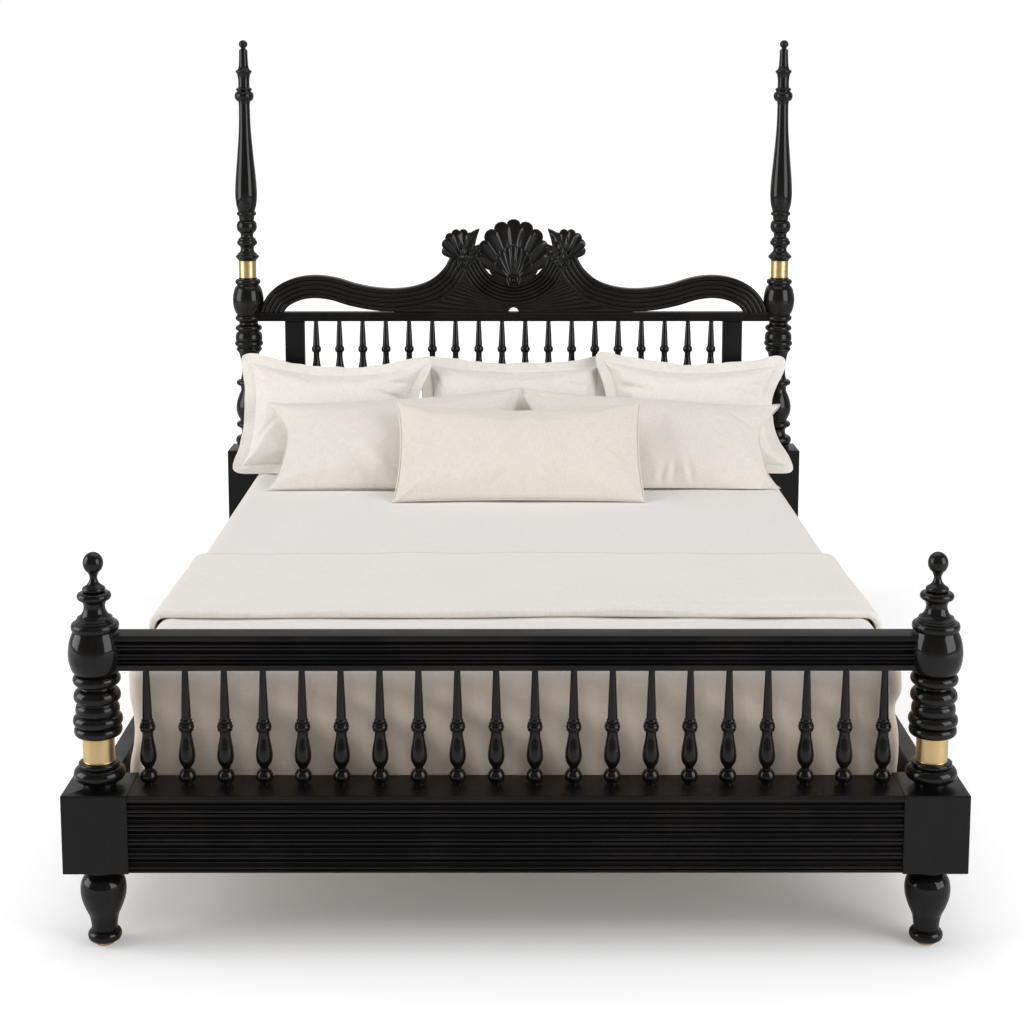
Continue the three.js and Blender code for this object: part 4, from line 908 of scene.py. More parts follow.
LEG: tuple[Station, ...] = (
    (7.2, 24, 0), (8, 25, 8.6), (30, 25, 0), (31, 25.6, CURVE), (42, 26, CURVE), (53, 27.6, CURVE),
    (61, 29.5, CURVE), (69, 33, CURVE), (78, 37, CURVE), (89, 41, CURVE), (100, 44, CURVE),
    (117, 45.5, CURVE), (133, 43, CURVE), (144, 37, CURVE), (150, 30.5, 0), (151, 28.5, 0), (152, 29, 4.2),
    (163, 29, 0), (164, 33, 0), (171.5, 33, 0),
)
FOOT_BASE: tuple[Station, ...] = (
    (331.5, 32.5, 0), (341, 32.5, 0), (342, 36.5, 14.3), (372, 36.5, 0), (372.3, 40.6, 0), (373, 39.2, 1.6),
    (380.4, 39, 0), (381, 36, 0), (381, 15, 0), (454, 15, 0),
)
FOOT_UPPER: tuple[Station, ...] = (
    (435, 16, 0), (435, 38.5, 0), (435.4, 40.4, 6.4), (454.6, 41.2, 0), (456.5, 42.4, 6.9),
    (477.5, 41.4, 0), (479, 40, 3.9), (500, 38.8, 0), (502, 38.2, 0), (504.5, 38.2, 9.2), (530.5, 35.6, 0),
    (531.5, 33.6, -1.6), (537, 33.6, 0), (538, 36, 10.2), (560.5, 37.4, 0), (562, 41.4, CURVE),
    (567, 46.4, CURVE), (577, 50.4, CURVE), (589, 53.2, CURVE), (604, 54.1, CURVE), (623, 51.9, CURVE),
    (635, 48.7, CURVE), (645, 44.6, 0), (648, 44, 0), (648.5, 43.2, 3.7), (664, 43.2, 0), (665, 37.5, 0),
    (669, 37.5, 0), (669.5, 34.4, 0), (675, 34.2, 0), (675.5, 31.5, CURVE), (681, 26, CURVE),
    (689, 22, CURVE), (697, 20.8, CURVE), (704, 22.4, CURVE), (708.5, 25.5, 0), (709, 26, 7.4),
    (725, 26, 0), (725.5, 18.6, 4.2), (736, 18.2, 0), (737, 17.4, CURVE), (741, 12.4, CURVE),
    (746, 9.2, CURVE), (753, 7.3, CURVE), (759, 8.2, CURVE), (762, 10, 0),
)
HEAD_SHAFT: tuple[Station, ...] = (
    (590.5, 40, 0), (601, 40, 0), (602, 36, 11), (630, 36, 0), (631, 31.5, CURVE), (643, 27.5, CURVE),
    (654, 31, CURVE), (656, 33.5, 0), (657, 35, 8.6), (675, 35, 0), (676, 32.5, 0), (681, 32.5, CURVE),
    (689, 36.4, CURVE), (698, 40.5, CURVE), (717, 43.4, CURVE), (745, 39.4, CURVE), (757, 34.9, CURVE),
    (776, 27.8, CURVE), (786, 29.2, 0), (788, 32, 0), (789, 32.5, 9), (807, 32.5, 0), (808, 28, CURVE),
    (824, 24.6, CURVE), (846, 24.8, CURVE), (866, 26.6, CURVE), (879, 28.5, CURVE), (888, 30.5, CURVE),
    (894, 33.5, CURVE), (897, 36, 0), (898, 35.4, 4.5), (908, 35.4, 0), (909, 37, 0), (912.5, 37, 0),
    (913, 37, 6.9), (930, 37, 0), (931, 40.4, 0), (933, 41.4, CURVE), (942, 41.2, CURVE), (950, 40, CURVE),
    (956, 37, 0), (957, 33.2, 0), (961, 33.2, 7.8), (978, 33.2, 0), (979, 34, -5.5), (991, 34, 0),
    (992, 33, 7.6), (1010, 33, 0), (1010.5, 35.6, 0), (1014, 35.6, 0), (1015, 38, CURVE),
    (1024, 42.2, CURVE), (1037, 45.6, CURVE), (1059, 47.6, CURVE), (1080, 45, CURVE), (1093, 41.2, CURVE),
    (1101, 36.4, 0), (1102, 33.8, 0), (1105.5, 33.8, 0), (1106, 33.4, 5.6), (1122, 33.4, 0),
    (1122.5, 28.4, 0), (1126, 28, 0), (1126, 15, 0), (1200, 15, 0),
)
HEAD_SPIRE: tuple[Station, ...] = (
    (1180, 16, 0), (1180, 28.2, 0), (1183, 28.8, CURVE), (1188, 34, CURVE), (1192, 36.2, CURVE),
    (1196, 34.6, CURVE), (1199, 30, 0), (1200, 28.8, 0), (1203, 28.8, 0), (1204, 26, CURVE),
    (1209, 21.8, CURVE), (1216, 20.2, CURVE), (1222, 21.8, CURVE), (1226, 25, 0), (1227, 25, 6),
    (1244, 25, 0), (1244.5, 26.6, 0), (1248, 26.6, 0), (1249, 24, CURVE), (1253, 20.2, CURVE),
    (1257, 19.1, CURVE), (1262, 20, CURVE), (1265.5, 21.5, 0), (1266, 20, 10.6), (1304, 21, 0),
    (1305, 22.6, 0), (1317, 24, 0), (1318, 24.2, 5.7), (1331.5, 24.2, 0), (1332, 24.9, CURVE),
    (1341, 27.8, CURVE), (1350, 30.3, CURVE), (1363, 32.1, CURVE), (1388, 33.5, CURVE), (1425, 31.7, CURVE),
    (1456, 29.1, CURVE), (1487, 26.1, CURVE), (1518, 23.4, CURVE), (1549, 20.8, CURVE), (1580, 18.6, CURVE),
    (1611, 17.4, CURVE), (1640, 17, CURVE), (1660, 16.9, CURVE), (1667, 18, 0), (1668, 18, 9.4),
    (1697, 21.2, 0), (1697.5, 21.9, 0), (1700, 21.9, 0), (1700.5, 20, 4.7), (1709, 19, 0),
    (1710, 17.6, CURVE), (1720, 17.1, CURVE), (1734, 17.4, CURVE), (1747, 19.2, CURVE), (1753, 21.6, 0),
    (1755, 22.6, 2.6), (1762.5, 21.4, 0), (1763, 19.6, CURVE), (1768, 16.6, CURVE), (1774, 15, CURVE),
    (1790, 13.6, CURVE), (1807, 13, CURVE), (1821, 12.7, 0), (1824, 12, 0), (1824.5, 9.5, CURVE),
    (1827, 7.4, CURVE), (1830, 6.9, 0),
)


def ball_end(centre: float, tall: float, radius: float, neck: float) -> Array:
    """The outline of a ball from the height where it leaves a neck up to its pole.

    Point a is (centre + tall sin a, radius cos a), from the angle where radius cos a is the neck's radius.
    """
    a = np.linspace(-math.acos(neck / radius), np.pi / 2, 22)
    return np.stack([centre + tall * np.sin(a), radius * np.cos(a)], 1)


@dataclass
class Post:
    """A corner post: glide, turned leg, square block, turning, brass collar, and the turning above it.

    The collar's numbers are its bottom, top and radius, and the ball's are its centre, half height, radius
    and neck.
    """

    end: str
    upper_name: str
    y: float
    block_top: float
    shaft: tuple[Station, ...]
    upper: tuple[Station, ...]
    collar: tuple[float, float, float]
    ball: tuple[float, float, float, float]
    collar_bore: float = 15.4
    sides: int = 72

    def turning(self, stations: Sequence[Station], x: float) -> Shell:
        """Returns a turning on the post's axis."""
        return turned(moulding(stations, 4.0), self.sides, x, self.y)

    def block(self, x: float) -> Shell:
        """Returns the square block that the rails are joined to."""
        low, high = (x - BLOCK_HALF, self.y - BLOCK_HALF), (x + BLOCK_HALF, self.y + BLOCK_HALF)
        return board((*low, BLOCK_BOTTOM), (*high, self.block_top), Axis.Z, 2.2)

    def wood(self, x: float) -> Shell:
        """Returns the leg and the turning below the collar."""
        return joined(self.turning(LEG, x), self.turning(self.shaft, x))

    def top(self, x: float) -> Shell:
        """Returns the turning above the collar, with its ball."""
        outline = np.concatenate([moulding(self.upper, 4.0), ball_end(*self.ball)])
        return turned(outline, self.sides, x, self.y)

    def sleeve(self, x: float) -> Shell:
        """Returns the brass collar, a tube rolled over at both rims."""
        bottom, top, r = self.collar
        rims = [(bottom, r - 1.2, 0.9), (bottom + 3.2, r - 1.2, 0), (bottom + 3.4, r - 0.8, 0)]
        rims += [(top - 3.4, r - 0.8, 0), (top - 3.2, r - 1.2, 0.9), (top, r - 1.2, 0)]
        bore = np.array([[top, self.collar_bore], [bottom, self.collar_bore]])
        return turned(np.concatenate([moulding(rims), bore]), self.sides, x, self.y, closed=True)

    def glide(self, x: float) -> Shell:
        """Returns the domed brass glide and its pin."""
        dome = [(0.0, 16.5, CURVE), (1.0, 18.8, CURVE), (3.0, 19.8, CURVE), (7.0, 20.0, 0)]
        return turned(moulding([*dome, (7.0, 4.0, 0), (24.0, 4.0, 0)], 1.0), 40, x, self.y)

    def build(self, finishes: Finishes) -> None:
        """Makes both posts of this end."""
        for side, x in SIDES:
            for part, look, shell, finish, slot in (
                ("post", "turned", self.wood(x), "gloss_z", "dark_wood"),
                ("post", "block", self.block(x), "satin_z", "dark_wood"),
                (self.upper_name, "turned", self.top(x), "gloss_z", "dark_wood"),
                ("collar", "turned", self.sleeve(x), "brass", "aged_brass"),
                ("glide", "turned", self.glide(x), "brass", "aged_brass"),
            ):
                node = f"{self.end}_{part}_{side}"
                add_piece(f"{node}_{look}", shell, finishes[finish], [node], TURNED_EDGE)
        log.info("%s posts: 2 posts, 2 turnings over them, 2 collars, 2 glides", self.end)


# Rails and spindles

SPINDLE_SIDES = 28
REED_PITCH = 29.1
REED_PAIR: tuple[Station, ...] = (
    (0, -3.6, 3.6), (6.4, -3.6, 0), (6.4, -6, 0), (8, -6, 0), (8, -2.8, 2.6), (14.2, -3.4, 0),
    (15.4, -5.2, 0), (18.8, -5.6, 0), (18.8, -7, 0), (20.3, -7, 0), (20.3, -3.4, 0), (22.6, -3.4, 0),
    (22.6, -8.5, 0), (29.1, -8.5, 0),
)
REED_TOP_HEIGHT = 14.25
REED_TOP: tuple[Station, ...] = (
    (1.25, -8.5, 0), (1.25, -0.4, 0), (7.65, -0.4, 0), (7.65, -2.5, 0), (9.05, -2.5, 0), (9.05, 0, 0),
    (12.25, 0, CURVE), (13.65, -0.6, CURVE), (14.25, -2, 0),
)


def reeded_face(z0: float, z1: float, repeats: int, top: float) -> Array:
    """The outline of a reeded face, from its foot to its top.

    Each repeat is a pair of reeds, a sunk band with a thin fillet over it, and a deep groove; a plain band
    and the edge of the top board lie over them.

    Args:
        z0: foot of the face.
        z1: top of the face.
        repeats: pairs of reeds.
        top: height of the band and edge over them.

    Returns:
        One row of height and reach for each point; the reach is zero at the face and below zero behind it.
    """
    pitch = (z1 - z0 - top) / repeats
    scale, lid = pitch / REED_PITCH, top / REED_TOP_HEIGHT
    stations = [
        (z0 + k * pitch + place * scale, reach * scale, bulge * scale)
        for k in range(repeats)
        for place, reach, bulge in REED_PAIR
    ]
    stations += [(z1 - top + place * lid, reach * lid, bulge) for place, reach, bulge in REED_TOP]
    return moulding(stations, 1.0, 11)


def run(section: Array, axis: Axis, end: float) -> Shell:
    """A section carried straight along an axis from -end to end."""
    return tube(along(axis, section, np.array([-end, end])))


def cross_rail(face: Array, front: float, corners: Sequence[tuple[float, float]], end: float) -> Shell:
    """A rail across the bed, whose face looks towards the foot.

    Args:
        face: height and reach of the face's points, from its foot to its top.
        front: where the face lies from foot to head.
        corners: place and height of the corners behind it, from top to foot.
        end: how far it reaches to either side.

    Returns:
        The closed shell.
    """
    outline = np.stack([front - face[:, 1], face[:, 0]], 1)
    return run(np.concatenate([outline, np.array(corners, float)]), Axis.X, end)


FOOT_SPINDLE: tuple[Station, ...] = (
    (331.5, 9.2, 0), (337, 9.2, 0), (337.2, 9.4, 8.8), (363, 7.6, 0), (364.5, 7.4, CURVE),
    (368, 8.4, CURVE), (374, 12.2, CURVE), (381, 15.4, CURVE), (390, 16.7, CURVE), (403, 15.8, CURVE),
    (420, 12.9, CURVE), (435, 10.7, CURVE), (441.5, 11.3, 0), (442.5, 12.6, 1.6), (446, 13.4, 2.4),
    (455.5, 13.4, 1.6), (459.5, 12.4, 0), (460, 10.4, 0), (461.5, 10.4, 1.7), (466.5, 10.2, 0),
    (467, 9.8, CURVE), (495, 9, CURVE), (535, 7.4, CURVE), (572.5, 6, 0),
)
HEAD_SPINDLE: tuple[Station, ...] = (
    (590.5, 8, 0), (600, 8, 0), (600.5, 8.4, 6.7), (626, 8.4, 0), (627, 7.6, CURVE), (645, 8.2, CURVE),
    (720, 12.4, CURVE), (785, 15.9, CURVE), (823, 16.5, CURVE), (842, 14.6, CURVE), (862, 11.2, CURVE),
    (880, 9.2, CURVE), (893, 9.4, 0), (893.5, 10.6, 4.2), (911.5, 10.6, 0), (912.5, 10.7, CURVE),
    (950, 9, CURVE), (992, 6.6, 0),
)


@dataclass
class Footboard:
    """The low end: a deep reeded lower rail, a reeded top rail, and a row of spindles between them."""

    rail_front: float = -1159.0
    rail_back: float = -1045.0
    rail_foot: float = 173.0
    front_board: float = 32.0
    board_thickness: float = 24.0
    eased: float = 1.4
    reeds: int = 5
    top_half_depth: float = 25.0
    top_foot: float = 572.0
    top_top: float = 643.0
    spindles: int = 20
    spindle_margin: float = 32.3

    def lower_rail(self) -> Shell:
        """Returns the built-up lower rail: its section is an upside-down trough with a reeded front."""
        face = reeded_face(self.rail_foot, FOOT_BLOCK_TOP, self.reeds, REED_TOP_HEIGHT)
        under = FOOT_BLOCK_TOP - self.board_thickness
        inner = self.rail_back - self.board_thickness
        behind_front = self.rail_front + self.front_board
        back = [(self.rail_back - self.eased, FOOT_BLOCK_TOP), (self.rail_back, FOOT_BLOCK_TOP - self.eased)]
        back += [(self.rail_back, self.rail_foot), (inner, self.rail_foot), (inner, under)]
        back += [(behind_front, under), (behind_front, self.rail_foot)]
        return cross_rail(face, self.rail_front, back, BLOCK_INNER - CLEAR)

    def top_rail(self) -> Shell:
        """Returns the top rail, with bands, sunk fascias, and two pairs and a single of reeds on its face."""
        stations: list[Station] = [(0, -1.4, CURVE), (0.5, -0.4, CURVE), (1.5, 0, 0), (11.2, 0, 0)]
        stations += [(11.3, -8, 0), (14, -8, 0), (14, -5.4, 2.6), (18.4, -5.4, 0), (18.4, -8, 0)]
        stations.append((22.4, -8, 0))
        for start in (22.4, 41.4):
            stations += [(start, -4, 3.8), (start + 6, -4, 0), (start + 6.4, -4, 3.8)]
            stations += [(start + 12.4, -4, 0), (start + 12.4, -8, 0), (start + 18.8, -8, 0)]
        stations += [(60.3, 0, 0), (69.2, 0, CURVE), (70.4, -0.6, CURVE), (71, -2, 0)]
        z = self.top_foot
        face = moulding(stations, 0.8, 9) + (z, 0)
        back = FOOT_Y + self.top_half_depth
        corners = [(back - 1.8, self.top_top), (back, self.top_top - 1.8)]
        corners += [(back, z + self.eased), (back - self.eased, z)]
        return cross_rail(face, FOOT_Y - self.top_half_depth, corners, RAIL_TENON)

    def build(self, finishes: Finishes) -> None:
        """Makes the rails and the spindles."""
        for place, shell, front in (
            ("lower", self.lower_rail(), self.rail_front),
            ("top", self.top_rail(), FOOT_Y - self.top_half_depth),
        ):
            node = f"foot_rail_{place}"
            rail = add_piece(f"{node}_reeded", shell, finishes["satin_x"], [node], REEDED_EDGE)
            mark_sunk(rail.data, Axis.Y, front)
        outline = moulding(FOOT_SPINDLE, 5.0, 7)
        for k, x in enumerate(spaced(self.spindles, BLOCK_INNER - self.spindle_margin)):
            node = f"foot_spindle_{k + 1:02d}"
            shell = turned(outline, SPINDLE_SIDES, x, FOOT_Y)
            add_piece(f"{node}_turned", shell, finishes["gloss_z"], [node], TURNED_EDGE)
        log.info("footboard: 2 rails and %d spindles", self.spindles)


@dataclass
class Headboard:
    """The tall end below its crest: three rails, two flat stiles, and a row of spindles."""

    rail_foot: float = 991.5
    rail_top: float = 1019.5
    rail_half_depth: float = 18.0
    lower_foot: float = 441.0
    lower_half_depth: float = 25.0
    eased: float = 1.4
    stretcher_top: float = 301.0
    stretcher_half_depth: float = 15.0
    stile_x: float = 681.0
    stile_half_width: float = 30.0
    stile_half_depth: float = 14.0
    spindles: int = 18
    spindle_margin: float = 35.6

    def upper_rail(self) -> Shell:
        """Returns the slim rail with its small reeds."""
        face = reeded_face(self.rail_foot, self.rail_top, 2, 6.0)
        back = HEAD_Y + self.rail_half_depth
        corners = [(back, self.rail_top), (back, self.rail_foot)]
        return cross_rail(face, HEAD_Y - self.rail_half_depth, corners, RAIL_TENON)

    def lower_rail(self) -> Shell:
        """Returns the tall reeded rail that the spindles stand in."""
        face = reeded_face(self.lower_foot, HEAD_BLOCK_TOP, 5, REED_TOP_HEIGHT)
        back = HEAD_Y + self.lower_half_depth
        corners = [(back - self.eased, HEAD_BLOCK_TOP), (back, HEAD_BLOCK_TOP - self.eased)]
        corners.append((back, self.lower_foot))
        return cross_rail(face, HEAD_Y - self.lower_half_depth, corners, BLOCK_INNER - CLEAR)

    def spindle_row(self) -> Shell:
        """Returns all the spindles of the head."""
        outline = moulding(HEAD_SPINDLE, 6.0, 7)
        reach = self.stile_x - self.stile_half_width - self.spindle_margin
        return joined(*(turned(outline, SPINDLE_SIDES, x, HEAD_Y) for x in spaced(self.spindles, reach)))

    def stretcher(self) -> Shell:
        """Returns the plain rail near the floor."""
        end, deep = BLOCK_INNER - CLEAR, self.stretcher_half_depth
        return board((-end, HEAD_Y - deep, BLOCK_BOTTOM), (end, HEAD_Y + deep, self.stretcher_top), Axis.X)

    def stile(self, sign: float) -> Shell:
        """Returns the flat stile of one side."""
        x, deep = sign * self.stile_x, self.stile_half_depth
        low = (x - self.stile_half_width, HEAD_Y - deep, HEAD_BLOCK_TOP)
        return board(low, (x + self.stile_half_width, HEAD_Y + deep, self.rail_foot), Axis.Z, 2.5)

    def build(self, finishes: Finishes) -> None:
        """Makes the rails, the stiles and the spindles."""
        upper = ["head_rail_upper"]
        for name, shell, finish, nodes, edge in (
            ("head_rail_upper_reeded", self.upper_rail(), "satin_x", upper, REEDED_EDGE),
            ("head_spindles_turned", self.spindle_row(), "gloss_z", upper, TURNED_EDGE),
            ("head_rail_lower_planed", self.lower_rail(), "satin_x", ["head_rail_lower"], PLANED_EDGE),
            ("head_stretcher_planed", self.stretcher(), "satin_x", ["head_stretcher"], PLANED_EDGE),
            ("head_stile_left_planed", self.stile(-1), "satin_z", ["head_stile_left"], PLANED_EDGE),
            ("head_stile_right_planed", self.stile(1), "satin_z", ["head_stile_right"], PLANED_EDGE),
        ):
            add_piece(name, shell, finishes[finish], nodes, edge)
        log.info("headboard: 3 rails, 2 stiles and %d spindles", self.spindles)


# Crest


@dataclass
class Scallop:
    """A carved shell: flutes that fan out from a hinge to a lobed rim.

    The rim is centre + R(a)(sin a, cos a), with R(a) = radius (1 - notch (1 - |sin(pi lobes s)|^0.55)) and s
    the share of the sweep. A point at share t of the way out from the hinge stands forward by
    rise dome(t) + rib, where the rib is a narrow crest between two flutes, or a broad one on each lobe.
    The sweep's ends are in half turns.
    """

    centre: tuple[float, float]
    hinge: tuple[float, float]
    radius: float
    lobes: int
    sweep: tuple[float, float]
    rise: float
    relief: float
    back: float
    notch: float = 0.1
    convex: bool = False
    samples: int = 16
    root: float = 0.07
    rim: float = 0.1

    def shell(self, place: Callable[[Array, Array, Array], Array]) -> Shell:
        """Returns the closed shell.

        Args:
            place: turns across, height and forward distances into points.
        """
        s = np.linspace(0, 1, self.lobes * self.samples + 1)[:, None]
        angle = (self.sweep[0] + (self.sweep[1] - self.sweep[0]) * s) * math.pi
        wave = np.abs(np.sin(np.pi * self.lobes * s))
        reach = self.radius * (1 - self.notch * (1 - wave**0.55))
        rim = self.centre[0] + reach * np.sin(angle), self.centre[1] + reach * np.cos(angle)
        outer = 1 - self.rim + self.rim * np.sin(np.linspace(0.2, 1, 7) * np.pi / 2)
        t = np.concatenate([np.linspace(self.root, 1 - self.rim, 22), outer])[None]
        dome = 0.35 + 0.65 * np.sin(np.pi * t**0.8 * 0.82)
        rib = wave**0.8 if self.convex else (1 - wave) ** 1.4 - 0.55 * wave**1.5
        edge = np.sqrt(np.clip((1 - t) / self.rim, 0, 1))
        forward = (self.rise * dome + self.relief * rib * smoothstep(0.02, 0.5, t)) * (0.25 + 0.75 * edge)
        t = np.concatenate([t, [[1.0, self.root]]], 1)
        x, z = (hinge + (far - hinge) * t for hinge, far in zip(self.hinge, rim))
        forward = np.concatenate([forward, np.full((len(s), 2), -self.back)], 1)
        return tube(place(x, z, forward))


@dataclass
class Crest:
    """The carved crest: two reeded arms, fields of curved reeds, a large shell and two side shells.

    Places on it are across the bed, above its foot, and forward of its front face.
    """

    foot: float = 1019.8
    front: float = 1080.0
    depth: float = 30.0
    end: float = 783.0
    arm_width: float = 71.0
    arm_reeds: int = 5
    arm_relief: float = 6.0
    field_centre: float = 196.0
    field_radius: float = 108.0
    field_reeds: int = 6
    field_pitch: float = 11.0
    field_sweep: float = 0.43
    hole_radius: float = 15.0
    ground_reach: float = 372.0
    arm_tip: float = 162.0
    arm_outer: float = 751.5
    leaf_depth: float = 20.0
    arm_line: tuple[tuple[float, float], ...] = (
        (1.01, -36), (1, 0), (0.955, 42), (0.87, 70), (0.775, 79), (0.68, 73), (0.57, 54), (0.455, 41),
        (0.338, 38), (0.23, 47), (0.13, 70), (0.048, 112), (0, 160),
    )
    ground_line: tuple[tuple[float, float], ...] = (
        (0, 26), (50, 34), (90, 52), (120, 75), (140, 100), (150, 112), (160, 112), (185, 92), (215, 64),
        (250, 38), (290, 26), (330, 16), (372, 10),
    )

    def place(self, x: Array, z: Array, forward: Array) -> Array:
        """Turns places on the crest into points."""
        x, z, forward = np.broadcast_arrays(x, z, forward)
        return np.stack([x, self.front - forward, self.foot + z], -1)

    def backed(self, x: Array, z: Array, forward: Array, depth: float) -> Array:
        """Sections of a carved face, each closed by a point behind its first one.

        Args:
            x: across the bed, with a row for each section.
            z: above the crest's foot.
            forward: how far the face stands forward.
            depth: how far that point lies behind the crest's front.

        Returns:
            The sections.
        """
        rings = self.place(x, z, forward)
        behind = rings[:, :1].copy()
        behind[..., 1] = self.front + depth
        return np.concatenate([rings, behind], 1)

    def reed(self, share: Array, height: float) -> Array:
        """Forward distance across one reed: a half ellipse, then a narrow step beside it."""
        bead = np.sqrt(np.clip(1 - ((share - 0.45) / 0.39) ** 2, 0, 1))
        step = 0.42 * smoothstep(0.82, 0.86, share) * (1 - smoothstep(0.95, 0.985, share))
        return height * np.maximum(bead, step)

    def arm(self) -> Shell:
        """Returns the right arm: reeds carried along its centre line, cut at the rail and the post."""
        line = np.array(self.arm_line)
        knots = np.stack([self.arm_tip + line[:, 0] * (self.arm_outer - self.arm_tip), line[:, 1]], 1)
        at = resampled(smooth_curve(knots, 2.0), 190)
        across = left_of(at)
        share = np.linspace(0, 1, self.arm_reeds * 14 + 1)[None]
        offset = (share - 0.5) * self.arm_width
        x, z = (at[:, k : k + 1] + across[:, k : k + 1] * offset for k in (0, 1))
        swell = np.sin(np.linspace(0, 1, len(at)) * np.pi)[:, None]
        forward = 0.8 + self.reed((share * self.arm_reeds) % 1.0, self.arm_relief - 0.8)
        rings = self.backed(x, z, forward + 1.2 * (1 - (2 * share - 1) ** 2) * swell, self.depth)
        rings[..., 0] = np.minimum(rings[..., 0], self.end)
        rings[..., 2] = np.maximum(rings[..., 2], self.foot)
        return tube(rings)

    def field(self) -> Shell:
        """Returns the bowl of reeds under the large shell: rings of radius r about the field's centre."""
        angle = np.linspace(-self.field_sweep, self.field_sweep, 90)[:, None] * np.pi
        share = np.linspace(0, 1, self.field_reeds * 12 + 1)[None]
        r = self.field_radius + share * self.field_reeds * self.field_pitch
        forward = 0.4 + self.reed((share * self.field_reeds) % 1.0, 4.2)
        x, z = r * np.sin(angle), self.field_centre - r * np.cos(angle)
        return tube(self.backed(x, z, forward, self.depth))

    def ground(self) -> Shell:
        """Returns the board between the arms and the rail, with shallow reeds that fan from its middle.

        At x it runs from the rail, or the rim of the round hole, up to a line tucked under the field and the
        arms. A reed follows z = v (22 + 0.0089 |x|^1.6) for one value of v.
        """
        x = np.linspace(-self.ground_reach, self.ground_reach, 240)[:, None]
        reach = np.abs(x)
        top = np.interp(reach, *np.array(self.ground_line).T)
        low = np.sqrt(np.clip(self.hole_radius**2 - x**2, 0, None))
        z = low + (top - low) * np.linspace(0, 1, 60)[None]
        v = z / (22 + 0.0089 * reach**1.6)
        bead = np.sqrt(np.clip(1 - (2 * ((v / 0.23) % 1.0) - 1) ** 2, 0, 1))
        return tube(self.backed(x, z, 0.3 + 2.4 * bead * smoothstep(0, 0.03, v), self.depth))

    def web(self) -> Shell:
        """Returns the plain board behind the large shell's hinge."""
        outline = np.array([[-84, 146], [-52, 82], [52, 82], [84, 146]], float)
        rings = [self.place(outline[:, 0], outline[:, 1], f) for f in (0.0, -self.depth)]
        return tube(np.stack(rings))

    def roll(self, x: float, z: float, radius: float, forward: float) -> Shell:
        """Returns a round boss: rings about a level axis, with a small ball in the middle."""
        face = [(-4, 0, CURVE), (-1, 1, CURVE), (0, 3.5, CURVE), (-1.4, 6.5, 0), (-3.6, 8, 0)]
        face += [(-1.2, 9.5, CURVE), (0.4, 13, CURVE), (-3, 15.5, 0), (-1, 17, CURVE), (1.6, 20, CURVE)]
        face.append((2.2, radius, 0))
        stations = [(forward + step, max(radius - inward, 0.0), bulge) for step, inward, bulge in face]
        outline = moulding([(-18.0, radius, 0), *stations], 0.8)
        angle = (np.arange(48) * 2 * np.pi / 48)[None]
        out = outline[:, 1:]
        return tube(self.place(x + out * np.cos(angle), z + out * np.sin(angle), outline[:, :1]))

    def leaflet(self, *outline: Sequence[float], width: float, rise: float) -> Shell:
        """Returns a carved leaf with a sunk midrib and rolled edges.

        Its midline is base (1 - t)^2 + 2 bend t (1 - t) + tip t^2, its half width is width / 2 times
        sin(pi t^0.75)^0.8, a little more near the base, and runs out to nothing at the tip. Across it, from
        u = -1 to 1, it stands forward by h (1 - u^4)(0.5 + 0.5 |u|^0.8) with ripples along its sides.

        Args:
            outline: the midline's base, bend and tip.
            width: of the leaf.
            rise: how far it stands forward at its middle.
        """
        t = np.linspace(0, 1, 34)[:, None]
        base, bend, tip = np.array(outline, float)
        line = base * (1 - t) ** 2 + 2 * bend * t * (1 - t) + tip * t**2
        across = left_of(line)
        half = width / 2 * (0.35 * (1 - t) + np.sin(np.pi * t**0.75) ** 0.8) + 0.4
        u = np.linspace(-1, 1, 17)[None]
        x, z = (line[:, k : k + 1] + across[:, k : k + 1] * half * u for k in (0, 1))
        height = rise * (0.45 + 0.55 * np.sin(np.pi * (0.15 + 0.75 * t)))
        ripple = 0.25 * height * np.cos(9 * t * np.pi) * np.abs(u) * (1 - u**2)
        forward = height * (1 - u**4) * (0.5 + 0.5 * np.abs(u) ** 0.8) + ripple
        return tube(self.backed(x, z, forward, self.leaf_depth))

    def large_shell(self) -> Shell:
        """Returns the large shell, the small fan before it, and the roll at their hinge."""
        outer = Scallop((0, 176), (0, 99.8), 112, 9, (-0.62, 0.62), 6.0, 3.4, 26, notch=0.12)
        fan = Scallop((0, 152), (0, 97), 62, 9, (-0.56, 0.56), 11.0, 3.0, 6, convex=True)
        return joined(outer.shell(self.place), fan.shell(self.place), self.roll(0, 100, 24, 13.0))

    def side_shell(self) -> Shell:
        """Returns the right side shell: a lobed fan over the arm's end, and leaves curling to the middle."""
        fan = Scallop((166, 200), (157, 152), 58, 6, (-0.32, 0.66), 6.5, 2.8, 26, notch=0.13)
        leaves = (
            self.leaflet((152, 152), (150, 218), (105, 259), width=36, rise=10),
            self.leaflet((150, 156), (122, 186), (97, 212), width=30, rise=11),
            self.leaflet((152, 154), (126, 164), (102, 184), width=26, rise=11.5),
            self.leaflet((156, 152), (140, 150), (116, 160), width=20, rise=11),
            self.leaflet((156, 154), (160, 190), (140, 236), width=22, rise=12),
        )
        return joined(fan.shell(self.place), *leaves, self.roll(158, 154, 17, 11.0))

    def build(self, finishes: Finishes) -> None:
        """Makes the crest in one piece."""
        half = joined(self.arm(), self.side_shell())
        whole = joined(half, half.mirrored(), self.ground(), self.field(), self.web(), self.large_shell())
        add_piece("head_crest_carved", whole, finishes["gloss_x"], ["head_crest"], 36.0)
        log.info("crest: %d points", len(whole.points))


# Sides and base


